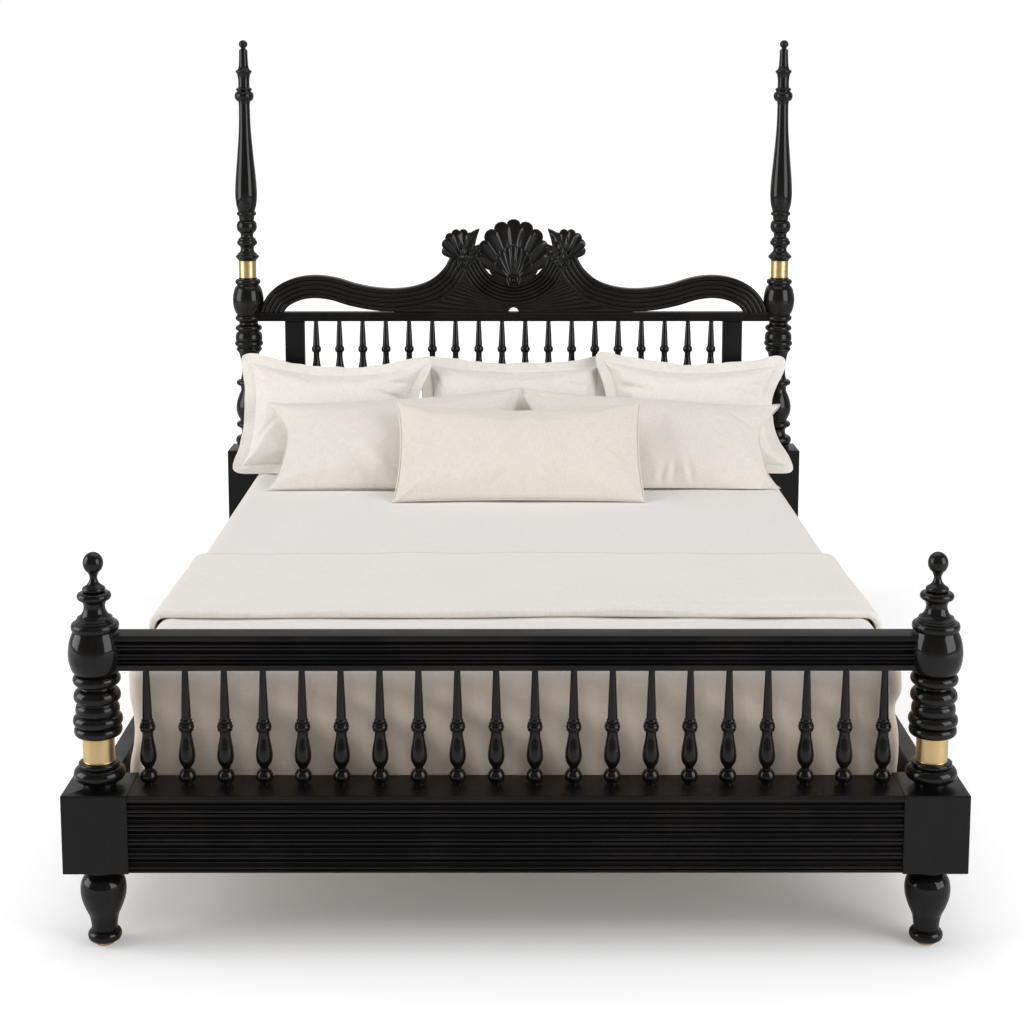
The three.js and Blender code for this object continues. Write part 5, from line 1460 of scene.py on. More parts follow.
@dataclass
class SideRails:
    """The long rails, reeded outside, with the ledgers screwed to them."""

    outer: float = 842.5
    inner: float = 807.5
    end: float = 1029.7
    eased: float = 1.2
    reeds: int = 5

    def build(self, finishes: Finishes) -> None:
        """Makes both rails and both ledgers."""
        face = reeded_face(BLOCK_BOTTOM, FOOT_BLOCK_TOP, self.reeds, REED_TOP_HEIGHT)
        back = [(FOOT_BLOCK_TOP, self.inner + self.eased), (FOOT_BLOCK_TOP - self.eased, self.inner)]
        back.append((BLOCK_BOTTOM, self.inner))
        right = run(np.concatenate([face + (0, self.outer), np.array(back)]), Axis.Y, self.end)
        for side, shell in (("left", right.mirrored()), ("right", right)):
            node = f"side_rail_{side}"
            rail = add_piece(f"{node}_reeded", shell, finishes["satin_y"], [node], REEDED_EDGE)
            mark_sunk(rail.data, Axis.X, self.outer)
            node = f"ledger_{side}"
            ledger = board(*node_box(node), Axis.Y, 2.0)
            add_piece(f"{node}_planed", ledger, finishes["pine_y"], [node])
        log.info("side rails: 2 rails and 2 ledgers")


@dataclass
class SlatBase:
    """Planed slats on two battens, over a beam with a middle leg."""

    half_length: float = 806.9
    half_reach: float = 1016.0
    count: int = 11
    width: float = 75.0
    bottom: float = 240.0
    top: float = 260.0
    batten_half: float = 30.0
    batten_height: float = 10.0
    beam_half: float = 30.0
    beam_bottom: float = 179.7
    beam_top: float = 239.7
    beam_foot: float = -1044.7
    beam_head: float = 1079.7
    leg_half: float = 25.0
    pin: float = 12.0

    def slats(self) -> Shell:
        """Returns all the slats."""
        half, end = self.width / 2, self.half_length
        places = spaced(self.count, self.half_reach - half)
        low, high = self.bottom, self.top
        return joined(*(board((-end, y - half, low), (end, y + half, high), Axis.X, 2.0) for y in places))

    def battens(self) -> Shell:
        """Returns the two battens under the slats."""
        reach, half = self.half_reach - self.width / 2, self.batten_half
        low, high = self.bottom - self.batten_height, self.bottom
        places = (-self.half_length / 2, self.half_length / 2)
        return joined(*(board((x - half, -reach, low), (x + half, reach, high), Axis.Y) for x in places))

    def beam(self) -> Shell:
        """Returns the beam along the bed's middle."""
        low = (-self.beam_half, self.beam_foot, self.beam_bottom)
        return board(low, (self.beam_half, self.beam_head, self.beam_top), Axis.Y, 2.0)

    def leg(self) -> Shell:
        """Returns the middle leg and the pin that goes up into the beam."""
        half, top = self.leg_half, self.beam_bottom
        pin = turned(np.array([[top - 2, self.pin], [top + 24, self.pin]]), 24, 0.0, 0.0)
        return joined(board((-half, -half, 0.0), (half, half, top - CLEAR), Axis.Z, 2.0), pin)

    def build(self, finishes: Finishes) -> None:
        """Makes the slats, the battens, the beam and its leg."""
        for name, shell, finish, node in (
            ("slats_planed", self.slats(), "pine_x", "slat_base"),
            ("battens_planed", self.battens(), "pine_y", "slat_base"),
            ("centre_beam_planed", self.beam(), "pine_y", "centre_beam"),
            ("centre_leg_planed", self.leg(), "pine_z", "centre_leg"),
        ):
            add_piece(name, shell, finishes[finish], [node])
        log.info("base: %d slats, 2 battens, a beam and its leg", self.count)


# Bedding


def solidify(obj: bpy.types.Object, thickness: float, offset: float = -1.0) -> None:
    """Gives a sheet its thickness in millimetres, inwards unless another offset is given."""
    wall = obj.modifiers.new("thickness", "SOLIDIFY")
    wall.thickness, wall.offset = thickness * MM, offset


@dataclass
class Mattress:
    """The mattress: crowned faces, rounded corners and piped edges."""

    corner: float = 60.0
    edge: float = 26.0
    cord: float = 2.2
    crown: float = 5.0

    def shell(self) -> Shell:
        """Returns level rings whose inset follows a quarter circle at each edge, and their cords."""
        low, high = node_box("mattress")
        middle, half = (low + high) / 2, (high - low) / 2

        def ring(inset: float, corner: float, steps: int, rise: float) -> Array:
            """One level ring, drawn in by an inset, at a height over the middle."""
            outline = rounded_rectangle(half[0] - inset, half[1] - inset, corner, steps, 20.0)
            return middle + np.concatenate([outline, np.full((len(outline), 1), rise)], 1)

        upright = half[2] - self.edge
        a = np.linspace(0, np.pi / 2, 8)
        lift, inset = upright + self.edge * np.sin(a), self.edge * (1 - np.cos(a))
        side = np.linspace(-upright, upright, 9)[1:-1]
        height = np.concatenate([-lift[::-1], side, lift])
        inset = np.concatenate([inset[::-1], self.crown * (1 - np.cos(side / half[2] * 2)), inset])
        body = tube(np.stack([ring(d, self.corner - 0.4 * d, 8, h) for h, d in zip(height, inset)]))
        seams = (ring(self.cord, self.corner - 2, 12, sign * upright) for sign in (-1, 1))
        made = joined(body, *(cord(seam, self.cord) for seam in seams))
        made.cut = made.points[:, :2] + made.points[:, 2:]
        return made

    def build(self, finishes: Finishes) -> None:
        """Makes the mattress."""
        obj = add_piece("mattress_ticking", self.shell(), finishes["ticking"], ["mattress"])
        log.info("mattress: one padded block with piping")


@dataclass
class Bedspread:
    """The bedspread: flat on top, rounded over three edges, hanging in soft folds to its hem.

    saved is how much shorter the way round its rounded edge is than the two straight ways to the edge's
    corner, as a share of the radius.
    """

    half_width: float = 786.0
    foot: float = -1043.0
    head: float = 1015.5
    head_seam: float = 1016.0
    top: float = 557.6
    sink: float = 1.7
    hem: float = 300.0
    round_edge: float = 40.0
    saved: float = 0.43
    corner: float = 62.0
    thickness: float = 5.0
    tuck_top: float = 350.0
    centre_y: float = -450.0
    side_points: int = 110
    foot_points: int = 120

    def outline(self, tucked: bool) -> tuple[Array, Array]:
        """The right half of a level ring, from the head round to the middle of the foot.

        Args:
            tucked: whether the corner passes inside the foot block.

        Returns:
            Its points, and the outward direction at each.
        """
        x, y, r = self.half_width, self.foot, self.corner
        side = np.linspace((x, self.head), (x, y + r), self.side_points)
        a = np.linspace(0, np.pi / 2, 26)
        outward = np.stack([np.cos(a), -np.sin(a)], 1)
        turn = (x - r, y + r) + r * outward
        if tucked:
            bend = [(x, y + r), (x, -1017), (x - 8, -1024), (763, -1027), (757.5, -1028), (756.5, -1034)]
            turn = resampled(np.array([*bend, (752, y + 3), (x - r, y)], float), len(a))
        across = np.linspace((x - r, y), (0, y), self.foot_points)[1:]
        facing = [[[1.0, 0.0]] * self.side_points, outward[1:], [[0.0, -1.0]] * len(across)]
        return np.concatenate([side, turn[1:], across]), np.concatenate(facing)

    def folds(self, ring: Array, height: Array) -> Array:
        """How far the cloth stands back from its outermost line: folds that fade out at the rounded edge."""
        x, y = ring[..., 0], ring[..., 1]
        fade = 1 - smoothstep(450, 550, height)
        over = height - self.hem
        slant = x + (0.7 + 0.004 * over) * over
        foot = 8.8 + 5.8 * np.sin(slant / 36.0 + 1.3 * np.sin(slant / 170)) + 3.0 * np.sin(slant / 71.0 + 1.0)
        side = 2.4 + 1.5 * np.sin(y / 88.0 + 0.6 * np.sin(y / 310)) + 0.9 * np.sin(y / 37.0 + height / 90)
        weight = smoothstep(self.foot + 120, self.foot + 20, y)
        return np.clip(weight * foot + (1 - weight) * side, 0, None) * fade

    def shell(self) -> Shell:
        """Returns the sheet: rings from the hem up, over the rounded edge, then in to the bed's middle."""
        plain, facing = self.outline(False)
        tucked, _ = self.outline(True)
        plain, tucked, facing = (np.concatenate([r, (r * (-1, 1))[-2::-1]]) for r in (plain, tucked, facing))
        edge_foot = self.top - self.round_edge
        drop = np.concatenate([[self.hem, self.hem + 1.5], np.linspace(self.hem + 5, edge_foot, 40)])
        a = np.linspace(0, np.pi / 2, 14)[1:]
        height = np.concatenate([drop, self.top - self.round_edge * (1 - np.sin(a))])
        inset = np.concatenate([0 * drop, self.round_edge * (1 - np.cos(a))])
        low = self.top - drop - self.saved * self.round_edge
        down = np.concatenate([low, self.round_edge * (np.pi / 2 - a)])
        weight = smoothstep(self.tuck_top - 14, self.tuck_top + 80, height)[:, None, None]
        rings = tucked * (1 - weight) + plain * weight
        back = inset[:, None] + self.folds(rings, height[:, None])
        rings = rings - facing * back[..., None]
        z = np.broadcast_to(height[:, None], back.shape)
        cut = plain - facing * self.round_edge + facing * down[:, None, None]
        share = np.linspace(0, 1, 34)[1:, None, None]
        edge, seam = rings[-1], self.head_seam
        run_in = (seam - self.centre_y) / (seam - edge[:, 1].min())
        goal = np.stack([0 * edge[:, 0], seam + (edge[:, 1] - seam) * run_in], 1)
        goal[:, 1] = np.where(edge[:, 1] > seam - 1, edge[:, 1], np.maximum(goal[:, 1], self.centre_y))
        top = edge + (goal - edge) * share
        ripple = 1.1 * drift(top.reshape(-1, 2), 9, 260.0, SEED).reshape(top.shape[:2])
        ripple *= smoothstep(0, 0.15, share[..., 0]) * smoothstep(0, 0.05, 1.03 - share[..., 0])
        points = np.concatenate([np.dstack([rings, z]), np.dstack([top, self.top - self.sink + ripple])])
        flat = np.concatenate([cut, top])
        return Shell(points.reshape(-1, 3), grid_quads(*points.shape[:2]), [], flat.reshape(-1, 2))

    def build(self, finishes: Finishes) -> None:
        """Makes the spread."""
        shell, finish = self.shell(), finishes["cotton"]
        obj = add_piece("bedspread_cotton", shell, finish, ["bedspread"], CLOTH_EDGE)
        solidify(obj, self.thickness)


@dataclass
class Blanket:
    """A blanket folded in two and laid across the bed, hanging over both edges."""

    hang: float = 794.0
    level: float = 566.4
    drop: float = 206.5
    bend: float = 30.0
    front: float = -704.0
    back: float = -187.0
    gap_back: float = 3.4
    gap_front: float = 6.4
    thickness: float = 4.2

    def path(self) -> tuple[Array, Array]:
        """The line across the bed that the middle of the folded cloth follows, and its upward direction."""
        out, top, r = -self.hang, self.level, self.bend
        a = np.linspace(0, np.pi / 2, 12)
        left = np.array([[out, top - self.drop], [out - 1.5, top - 90], [out, top - r - 8]])
        corner = np.stack([out + r * (1 - np.cos(a)), top - r * (1 - np.sin(a))], 1)
        half = np.concatenate([left, corner, [[-400.0, top], [0.0, top]]])
        line = resampled(np.concatenate([half, (half * (-1, 1))[-2::-1]]), 420)
        return line, left_of(line)

    def creases(self, x: Array, y: Array, front: Array) -> Array:
        """How far the upper layer is lifted by its pinch at the right, its cuff and a pressed band."""
        pinch_at = np.exp(-(((x - 330) / 190) ** 2)) * np.exp(-(((y - front) / 120) ** 2))
        crease = 5.5 * pinch_at * np.sin((y - front) / 17.0 + x / 150) * (x > -200)
        cuff = (y - front - 72 - 0.06 * (x - 250)) / 11.0
        pressed = 3.2 * (0.5 * np.exp(-((cuff - 1.9) ** 2)) - np.exp(-(cuff**2))) * smoothstep(240, 400, x)
        band = (y - front - 190 + 14 * np.sin(x / 260)) / 24.0
        return crease + pressed - 1.3 * np.exp(-(band**2)) * smoothstep(500, -100, x)

    def shell(self) -> Shell:
        """Returns the sheet: under layer from the back to the front, a round fold, then the upper layer."""
        line, up = self.path()
        x = line[:, :1]
        wave = 5 * np.sin(x / 210 + 0.6) + 3 * np.sin(x / 83)
        front, back = self.front + wave, self.back + 0.6 * wave
        q = np.linspace(0, 1, 60)[None]
        a = np.linspace(-np.pi / 2, np.pi / 2, 14)[None, 1:-1]
        below = self.level - line[:, 1:]
        thin = 1 - 0.35 * smoothstep(10, 40, below)
        roll = self.gap_front * thin
        lower_y = back + (front + roll - back) * q
        gap = (self.gap_back + (self.gap_front - self.gap_back) * smoothstep(0.5, 1.0, q)) * thin
        upper_y = (lower_y + 6 * (1 - q))[:, ::-1]
        y = np.concatenate([lower_y, front + roll - roll * np.cos(a), upper_y], 1)
        offset = np.concatenate([-gap, roll * np.sin(a), gap[:, ::-1]], 1)
        flat = np.stack(np.broadcast_arrays(x, y), -1).reshape(-1, 2)
        soft = drift(flat, 8, 190.0, SEED + 1).reshape(y.shape) * 1.3
        lift = offset + smoothstep(-1, 3, offset) * (soft + self.creases(x, y, front)) * thin
        flutter = smoothstep(20, 120, below) * (2.2 * np.sin(y / 55.0 + 1.0) + 1.4 * np.sin(y / 23.0))
        out = x + up[:, :1] * lift + np.sign(x) * np.abs(flutter) * 0.8
        points = np.dstack([out, y, line[:, 1:] + up[:, 1:] * lift])
        run_y = np.concatenate([lower_y, front - roll * np.cos(a), 2 * front - lower_y[:, ::-1]], 1)
        cut = np.dstack(np.broadcast_arrays(way_along(line)[:, None], run_y))
        return Shell(points.reshape(-1, 3), grid_quads(*y.shape), [], cut.reshape(-1, 2))

    def build(self, finishes: Finishes) -> None:
        """Makes the blanket."""
        shell, finish = self.shell(), finishes["throw"]
        obj = add_piece("blanket_cotton", shell, finish, ["blanket"], CLOTH_EDGE)
        solidify(obj, self.thickness, 0.0)


class Edge(Enum):
    """How a pillow's cover is finished at its seam."""

    PLAIN = "plain"
    PIPED = "piped"
    FLANGED = "flanged"


@dataclass(frozen=True)
class Fold:
    """A soft crease in a pillow's face, at x, y from its middle, turned by angle.

    At distance a along it and b across it, it stands forward by
    1.5 depth exp(-(a / length)^2) (0.45 exp(-(b / width - 1.9)^2) - exp(-(b / width)^2)).
    """

    x: float
    y: float
    angle: float
    length: float
    width: float
    depth: float

    def height(self, x: Array, y: Array) -> Array:
        """How far it stands forward at points of the face."""
        turn = math.radians(self.angle)
        a = ((x - self.x) * math.cos(turn) + (y - self.y) * math.sin(turn)) / self.length
        b = ((y - self.y) * math.cos(turn) - (x - self.x) * math.sin(turn)) / self.width
        return 1.5 * self.depth * np.exp(-(a**2)) * (0.45 * np.exp(-((b - 1.9) ** 2)) - np.exp(-(b**2)))


@dataclass
class Pillow:
    """One pillow or sham: sewn flat from two panels, filled, then leaned back and slumped in its place.

    Pairs are for its left and right. pull is how far its sides draw in, flop how far its upper corners hang
    forward, lift how far they rise, and flare how far they reach out. sag is how far its top edge dips,
    slump how much thicker its lower half is, as a share, and nudge how far it lies from its box's middle.
    """

    node: str
    width: float
    height: float
    thickness: float
    lean: float
    turn: float = 0.0
    edge: Edge = Edge.PLAIN
    flange: float = 0.0
    pull: tuple[float, float] = (24.0, 24.0)
    flop: tuple[float, float] = (0.0, 0.0)
    lift: tuple[float, float] = (0.0, 0.0)
    flare: tuple[float, float] = (0.0, 0.0)
    folds: tuple[Fold, ...] = ()
    nudge: float = 0.0
    sag: float = 8.0
    slump: float = 0.16
    bow: float = 6.0
    swell: float = 0.9
    settle: float = 14.0
    linen: str = "linen"
    seed: int = 0
    columns: int = 85
    rows: int = 53

    def sewn_half(self) -> tuple[float, float]:
        """Half the width and height between the seams."""
        return self.width / 2 - self.flange, self.height / 2 - self.flange

    def topology(self) -> tuple[Array, Array]:
        """The faces of two panels sewn together at their border, and the border's point numbers in order."""
        rows, columns = self.rows, self.columns
        upper = np.arange(rows * columns).reshape(rows, columns)
        lower = upper.copy()
        inner = (rows - 2) * (columns - 2)
        lower[1:-1, 1:-1] = rows * columns + np.arange(inner).reshape(rows - 2, columns - 2)
        quads = grid_quads(rows, columns)
        both = np.concatenate([quads, lower.ravel()[quads][:, ::-1]])
        border = np.concatenate([upper[0, :-1], upper[:-1, -1], upper[-1, :0:-1], upper[:0:-1, 0]])
        return both, border

    def corner_creases(self, x: Array, y: Array) -> Array:
        """Three creases that run in from each corner, widening and dying out on their way."""
        half_x, half_y = self.sewn_half()
        creases = 0 * x
        for k, (sx, sy) in enumerate(((-1, -1), (-1, 1), (1, -1), (1, 1))):
            dx, dy = half_x - sx * x, half_y - sy * y
            for j, slope in enumerate((24.0, 41.0, 60.0)):
                a = math.radians(slope + 5 * math.sin(7.0 * k + 3.0 * j + self.seed))
                reach, off = dx * math.cos(a) + dy * math.sin(a), dy * math.cos(a) - dx * math.sin(a)
                long = 120 + 45 * math.sin(5.0 * k + 2.0 * j + 3 * self.seed)
                across, away = off / (5 + 0.07 * reach), reach / long
                creases += np.exp(-(across**2)) * np.exp(-(away**2)) * smoothstep(4, 40, reach)
        return 3.4 * creases

    def start(self) -> Array:
        """Where the sewn panels' points start.

        At u, v from -1 to 1 a point is (u (w / 2 - pull (1 - v^2)), v (h / 2 - 8 (1 - u^2))), and it stands
        up or down by the crown ((1 - |u|^2.6)(1 - |v|^2.6))^0.5 of most of half the thickness. Puckers
        sin(s / 9 + drift) run in from the seams and die out in 60 mm, and creases run in from the corners.
        """
        u, v = np.meshgrid(np.linspace(-1, 1, self.columns), np.linspace(-1, 1, self.rows))
        half_x, half_y = self.sewn_half()
        x = u * (half_x - np.where(u < 0, *self.pull) * (1 - v * v))
        y = v * (half_y - 8.0 * (1 - u * u))
        crown = ((1 - np.abs(u) ** 2.6) * (1 - np.abs(v) ** 2.6)) ** 0.5
        flat = np.stack([x, y], -1).reshape(-1, 2)
        draws = ((9, 210.0, SEED), (7, 160.0, SEED + 40), (5, 190.0, SEED + 80))
        soft, turn, strong = (drift(flat, n, size, k + self.seed).reshape(x.shape) for n, size, k in draws)
        side, end = half_x - np.abs(x), half_y - np.abs(y)
        puckers = np.exp(-end / 34) * np.sin(x / 9.0 + 2.2 * turn)
        puckers += np.exp(-side / 34) * np.sin(y / 9.0 + 2.2 * turn)
        z = crown * (self.swell * self.thickness / 2 + 2.6 * soft)
        creases = self.corner_creases(x, y) - sum(fold.height(x, y) for fold in self.folds)
        wrinkle = (1.9 * puckers * smoothstep(-0.6, 1.4, strong) - creases) * np.minimum(crown * 2.2, 1)
        upper = np.dstack([x, y, z + wrinkle]).reshape(-1, 3)
        lower = np.dstack([x, y, -z])[1:-1, 1:-1].reshape(-1, 3)
        return np.concatenate([upper, lower])

    def border_band(self, seam: Array) -> Shell:
        """Returns the flange: a double band from just inside the seam outwards, with a wavy edge.

        At share k of its width a point is seam + out k flange + (0, 0, wave k^1.3).
        """
        loop = np.concatenate([seam[-6:], seam, seam[:6]])
        smooth = sum(loop[6 + k : len(loop) - 6 + k] for k in range(-6, 7)) / 13
        ahead = np.roll(smooth, -2, 0) - np.roll(smooth, 2, 0)
        outer = smooth.copy()
        outer[:, :2] += unit(ahead[:, :2])[:, ::-1] * (1, -1) * self.flange
        square = np.sign(smooth[:, :2]) * (self.width / 2, self.height / 2)
        near = np.linalg.norm(smooth[:, :2] - square, axis=1)[:, None]
        outer[:, :2] += (square - outer[:, :2]) * 0.75 * np.exp(-((near / 70) ** 2))
        k = np.linspace(-0.16, 1, 12)
        flat = seam[:, None] + (outer - seam)[:, None] * k[:, None]
        around = np.arange(len(seam))[:, None] / len(seam) * 2 * np.pi
        wave = 5.5 * np.sin(9 * around + self.seed * 1.7) + 3.4 * np.sin(17 * around + self.seed)
        flat[..., 2] += (wave + 2 * np.sin(31 * around)) * np.clip(k, 0, 1) ** 1.3
        puff = 1.0 + np.exp(-(((k - 0.93) / 0.1) ** 2)) - 0.5 * np.exp(-(((k - 0.08) / 0.08) ** 2))
        thick = np.stack([0 * k, 0 * k, 1.5 * puff], 1)
        section = np.concatenate([flat + thick, (flat - thick)[:, ::-1]], 1)
        shell = tube(section, closed=True)
        shell.cut = section.reshape(-1, 3)[:, :2]
        return shell

    def trim(self, seam: Array) -> Shell:
        """Returns the flange, or the cord in the seam."""
        if self.edge is Edge.FLANGED:
            return self.border_band(seam)
        return cord(seam, 2.6 if self.edge is Edge.PIPED else 1.3)

    def slumped(self, points: Array) -> Array:
        """Moves points as the pillow settles.

        Its lower half swells by slump, its top edge dips by sag between the corners, its upper corners
        hang forward by flop, and its face bows by bow v^2, where v runs from -1 at its foot to 1 at its top.
        """
        x, y, z = points.T
        u, v = x / (self.width / 2), y / (self.height / 2)
        z = z * (1 - self.slump * np.clip(v, -1, 1))
        y = y - self.sag * (1 - np.clip(u, -1, 1) ** 2) * smoothstep(-0.2, 1.0, v)
        rise = self.lift[0] * smoothstep(0.1, -1.0, u) + self.lift[1] * smoothstep(-0.1, 1.0, u)
        y = y + rise * smoothstep(-0.4, 1.0, v)
        left, right = (smoothstep(0.45, 1.0, sign * u) * smoothstep(0.2, 1.0, v) for sign in (-1, 1))
        x = x - self.flare[0] * left + self.flare[1] * right
        z = z + self.flop[0] * left + self.flop[1] * right
        y = y - 0.35 * (abs(self.flop[0]) * left + abs(self.flop[1]) * right)
        return np.stack([x, y, z - self.bow * v * v], 1)

    def placed(self, shell: Shell) -> Shell:
        """Slumps, leans, turns and moves the pillow so that it stands in its solid's box.

        What lies lowest is pressed a little flat, by sqrt(h^2 + settle^2) - settle at height h.
        """
        turn = Euler((math.radians(self.lean), 0, 0)).to_matrix()
        spin = Euler((0, 0, math.radians(self.turn))).to_matrix()
        points = self.slumped(shell.points) @ np.array(spin @ turn).T
        low, high = node_box(self.node)
        own_y = (points[:, 1].min() + points[:, 1].max()) / 2
        foot = points[:, 2].min()
        points[:, 2] = foot + np.sqrt((points[:, 2] - foot) ** 2 + self.settle**2) - self.settle
        x, y, _ = (low + high) / 2
        shift = (x + self.nudge, y - own_y, low[2] - points[:, 2].min())
        return Shell(points + shift, shell.quads, shell.caps, shell.cut)

    def sewn(self) -> bpy.types.Object:
        """Returns the sewn, unfilled cover, which still lies flat."""
        quads, _ = self.topology()
        return add_object(f"{self.node}_linen", make_mesh(f"{self.node}_sewn", Shell(self.start(), quads)))

    def finish(self, obj: bpy.types.Object, filled: Array, finishes: Finishes) -> None:
        """Trims the filled cover, puts it in place and dresses it.

        Args:
            obj: the cover.
            filled: its points after filling, in millimetres, lying flat.
            finishes: the materials.
        """
        quads, border = self.topology()
        half = np.array([*self.sewn_half(), self.thickness / 2])
        points = filled * np.minimum(half / np.abs(filled).max(0), 1.2)
        body = Shell(points, quads, [], self.start()[:, :2])
        shell = self.placed(joined(body, self.trim(points[border])))
        old = obj.data
        obj.data = make_mesh(self.node, shell, sharp=CLOTH_EDGE)
        bpy.data.meshes.remove(old)
        smooth = obj.modifiers.new("smooth", "SUBSURF")
        smooth.levels = smooth.render_levels = 1
        dress(obj, finishes[self.linen], [self.node])
        log.info("%s: %d points before smoothing", self.node, len(obj.data.vertices))


@dataclass
class PillowRow:
    """All the pillows, which are filled together as cloth under pressure."""

    pillows: tuple[Pillow, ...]
    pressure: float = 4.0
    stiffness: float = 18.0
    shear: float = 6.0
    bending: float = 0.12
    mass: float = 0.25
    most: float = 14.0
    frames: int = 20

    def inflate(self, obj: bpy.types.Object) -> None:
        """Makes a cover cloth that is blown up by an even pressure."""
        cloth = obj.modifiers.new("filling", "CLOTH")
        setting = cloth.settings
        setting.quality, setting.mass = 5, self.mass
        setting.tension_stiffness = setting.compression_stiffness = self.stiffness
        setting.shear_stiffness, setting.bending_stiffness = self.shear, self.bending
        setting.use_pressure, setting.uniform_pressure_force = True, self.pressure
        setting.effector_weights.gravity = 0
        cloth.collision_settings.use_collision = False
        cloth.point_cache.frame_start, cloth.point_cache.frame_end = 1, self.frames

    def fill(self, covers: Sequence[bpy.types.Object]) -> list[Array]:
        """Fills the sewn covers, which lie flat, and returns their points in millimetres."""
        before = [mesh_points(obj.data) for obj in covers]
        for obj in covers:
            self.inflate(obj)
        for number in range(1, self.frames + 1):
            bpy.context.scene.frame_set(number)
        graph = bpy.context.evaluated_depsgraph_get()
        after = []
        for obj, old in zip(covers, before):
            move = mesh_points(obj.evaluated_get(graph).data) - old
            far = np.maximum(np.linalg.norm(move, axis=1, keepdims=True), TINY)
            after.append(old + move * np.minimum(1, self.most / far))
            obj.modifiers.clear()
        bpy.context.scene.frame_set(1)
        return after

    def build(self, finishes: Finishes) -> None:
        """Makes every pillow."""
        covers = [pillow.sewn() for pillow in self.pillows]
        for pillow, cover, points in zip(self.pillows, covers, self.fill(covers)):
            pillow.finish(cover, points, finishes)


PILLOWS = (
    Pillow(
        "sham_left", 616, 404, 104, 60, -2, Edge.FLANGED, 32, (24, 46),
        flop=(4, 30), lift=(14, 2), sag=36, seed=1,
        folds=(
            Fold(199, 108, 5, 45, 7, 4.5), Fold(174, 59, -8, 60, 9, 5), Fold(-215, 92, -12, 35, 7, 3.5),
            Fold(-205, -56, 38, 45, 9, 3),
        ),
    ),
    Pillow(
        "sham_centre", 606, 398, 100, 60, 0, Edge.FLANGED, 32, (18, 12), lift=(6, 0), sag=15, seed=2,
        folds=(Fold(185, 82, -8, 50, 9, 3.5), Fold(-195, 125, 0, 30, 7, 3)),
    ),
    Pillow(
        "sham_right", 616, 404, 104, 60, 2, Edge.FLANGED, 32, (34, 56),
        flop=(26, 8), lift=(18, 0), sag=27, seed=3,
        folds=(
            Fold(-200, 128, 0, 30, 7, 3.5), Fold(-190, 75, -12, 50, 9, 4.5), Fold(196, 95, 5, 40, 7, 4),
            Fold(160, 59, -3, 50, 8, 3),
        ),
    ),
    Pillow(
        "pillow_left", 728, 384, 104, 42, -1,
        pull=(36, 14), flop=(0, 8), lift=(-38, 18), flare=(26, 20), sag=15, linen="warm_linen", seed=4,
        folds=(
            Fold(-80, -115, -50, 70, 24, 7), Fold(-270, 100, 24, 60, 9, 4), Fold(-250, 20, 40, 50, 9, 3.5),
        ),
    ),
    Pillow(
        "pillow_right", 728, 384, 104, 42, 1,
        pull=(14, 34), flop=(10, 4), lift=(10, -46), flare=(26, 32), nudge=12, sag=15,
        linen="warm_linen", seed=5,
        folds=(
            Fold(17, -138, 75, 26, 7, 4), Fold(52, -130, 82, 28, 7, 4.5), Fold(101, -130, 98, 28, 8, 4.5),
            Fold(270, 90, 140, 50, 9, 4), Fold(240, -60, -38, 90, 12, 3.5),
        ),
    ),
    Pillow(
        "pillow_lumbar", 716, 350, 98, 44, 0, Edge.PIPED,
        pull=(16, 12), lift=(12, 14), sag=6, linen="oat_linen", seed=6,
        folds=(
            Fold(-285, 29, 0, 40, 11, 5), Fold(-52, -105, 60, 28, 10, 4), Fold(100, -100, 118, 32, 11, 4),
            Fold(20, -118, 85, 24, 9, 3), Fold(285, -20, 150, 50, 11, 3.5),
        ),
    ),
)


# Studio


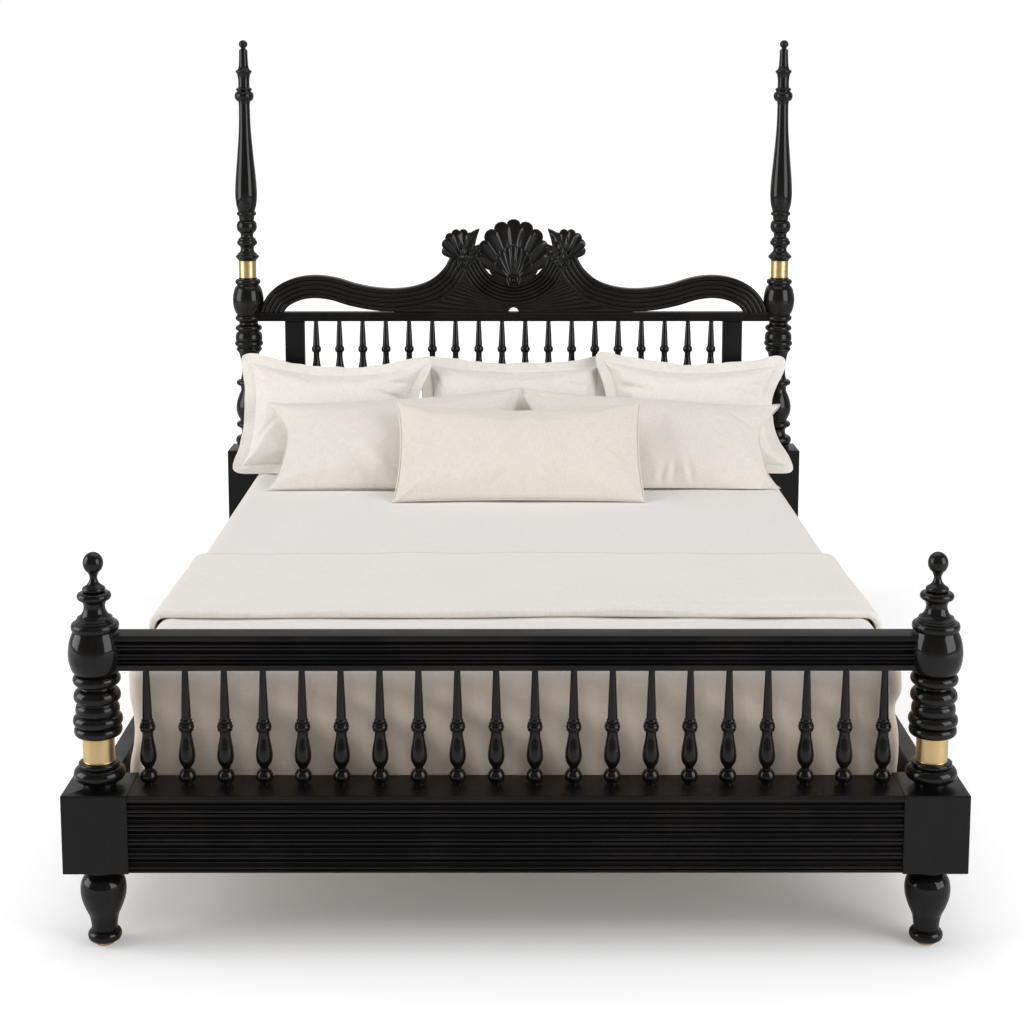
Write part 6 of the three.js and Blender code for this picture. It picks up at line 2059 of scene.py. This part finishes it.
@dataclass
class Studio:
    """Floor, lamps, world and camera, in metres and degrees."""

    floor_half: float = 30.0
    footprint: tuple[float, float] = (0.86, 1.10)
    lamp_width: float = 4.0
    camera_at: tuple[float, float, float] = (-0.0104, -4.5924, 1.6863)
    camera_turn: tuple[float, float, float] = (90.0 - 8.14, 0.0, -0.054)
    lens: float = 64.66
    shift: float = -0.15

    def floor(self) -> None:
        """Lays a white floor that glows for the camera as painted light, more the farther out; the glow held
        low near the bed's footprint paints a shadow there over the real one.
        """
        corners = np.array([[-1, -1, 0], [1, -1, 0], [1, 1, 0], [-1, 1, 0]]) * self.floor_half / MM
        obj = add_object("floor", make_mesh("floor", Shell(corners, np.array([[0, 1, 2, 3]])), closed=False))
        look = Surface("white_floor")
        seen = look.add("ShaderNodeLightPath").outputs["Is Camera Ray"]
        reach = look.add("ShaderNodeVectorMath", {0: look.place()}, operation="ABSOLUTE").outputs[0]
        past = [look.math("SUBTRACT", way, far) for way, far in zip(look.parts(reach), self.footprint)]
        outside = look.math("MAXIMUM", *past)
        # painted light and shadow: camera-only glow, low under the bed and rising away from its footprint
        painted_glow: Value = 0.1
        for low, high, top in ((-0.16, 0.16, 0.25), (0.1, 1.1, 0.2), (1.0, 5.0, 0.3)):
            painted_glow = look.math("ADD", look.step(outside, low, high, top), painted_glow)
        obj.data.materials.append(look.done({
            "Base Color": rgba((0.86, 0.86, 0.86)),
            "Roughness": 0.9,
            "Specular IOR Level": 0.0,
            "Emission Color": rgba((1, 1, 1)),
            "Emission Strength": look.times(seen, painted_glow),
        }))

    def lamp(self, name: str, at: Sequence[float], aim: Sequence[float], height: float, power: float) -> None:
        """Hangs a softbox whose face has the radiance power."""
        light = bpy.data.lights.new(name, "AREA")
        light.shape, light.size, light.size_y = "RECTANGLE", self.lamp_width, height
        light.energy = power * math.pi * self.lamp_width * height
        obj = add_object(name, light)
        obj.location = at
        obj.rotation_euler = (Vector(aim) - Vector(at)).to_track_quat("-Z", "Y").to_euler()
        obj.visible_camera = False

    def world(self) -> None:
        """Sets a white background for the camera, and a soft grey room for the rest."""
        world = bpy.data.worlds.new("studio")
        world.use_nodes = True
        look = ShaderTree(world.node_tree)
        look.tree.nodes.clear()
        seen = look.add("ShaderNodeLightPath").outputs
        far = look.step(look.parts(look.place("Generated"))[1], -0.6, 0.9)
        room = look.mix(far, (0.16, 0.16, 0.16), (0.6, 0.6, 0.6))
        soft = look.mix(seen["Is Diffuse Ray"], room, (0.36, 0.36, 0.37))
        colour = look.mix(seen["Is Camera Ray"], soft, (1, 1, 1))
        shade = look.add("ShaderNodeBackground", {"Color": colour, "Strength": 1.0})
        look.add("ShaderNodeOutputWorld", {0: shade.outputs[0]})
        bpy.context.scene.world = world

    def camera(self) -> None:
        """Sets up the camera."""
        data = bpy.data.cameras.new("camera")
        data.lens, data.sensor_width, data.shift_y, data.clip_end = self.lens, 36.0, self.shift, 200.0
        obj = add_object("camera", data)
        obj.location = self.camera_at
        obj.rotation_euler = tuple(math.radians(a) for a in self.camera_turn)
        bpy.context.scene.camera = obj

    def build(self) -> None:
        """Sets up the whole studio."""
        self.floor()
        self.lamp("top_softbox", (0.0, 0.2, 4.2), (0.0, 0.1, 0.5), 3.6, 1.0)
        self.lamp("left_softbox", (-5.8, -1.2, 2.4), (0.0, 0.0, 0.8), 4.2, 4.0)
        self.lamp("right_softbox", (4.9, -3.5, 2.4), (0.0, 0.0, 0.8), 4.2, 4.0)
        self.world()
        self.camera()
        bpy.context.scene.view_settings.view_transform = "Standard"
        log.info("studio: floor, 3 softboxes, world and camera")


# Bed


def main() -> None:
    """Builds the studio and the bed."""
    logging.basicConfig(level=logging.INFO, format="%(name)s: %(message)s")
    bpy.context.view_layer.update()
    Studio().build()
    finishes = make_finishes()
    foot = (FOOT_Y, FOOT_BLOCK_TOP, FOOT_BASE, FOOT_UPPER)
    head = (HEAD_Y, HEAD_BLOCK_TOP, HEAD_SHAFT, HEAD_SPIRE)
    for part in (
        Post("foot", "finial", *foot, collar=(381.3, 434.7, 31.9), ball=(783.0, 22.0, 19.9, 9.9)),
        Post("head", "spire", *head, collar=(1126.3, 1179.7, 27.2), ball=(1840.6, 12.4, 13.1, 6.9)),
        Footboard(), Headboard(), Crest(), SideRails(), SlatBase(), Mattress(), Bedspread(), Blanket(),
        PillowRow(PILLOWS),
    ):
        part.build(finishes)


if __name__ == "__main__":
    main()
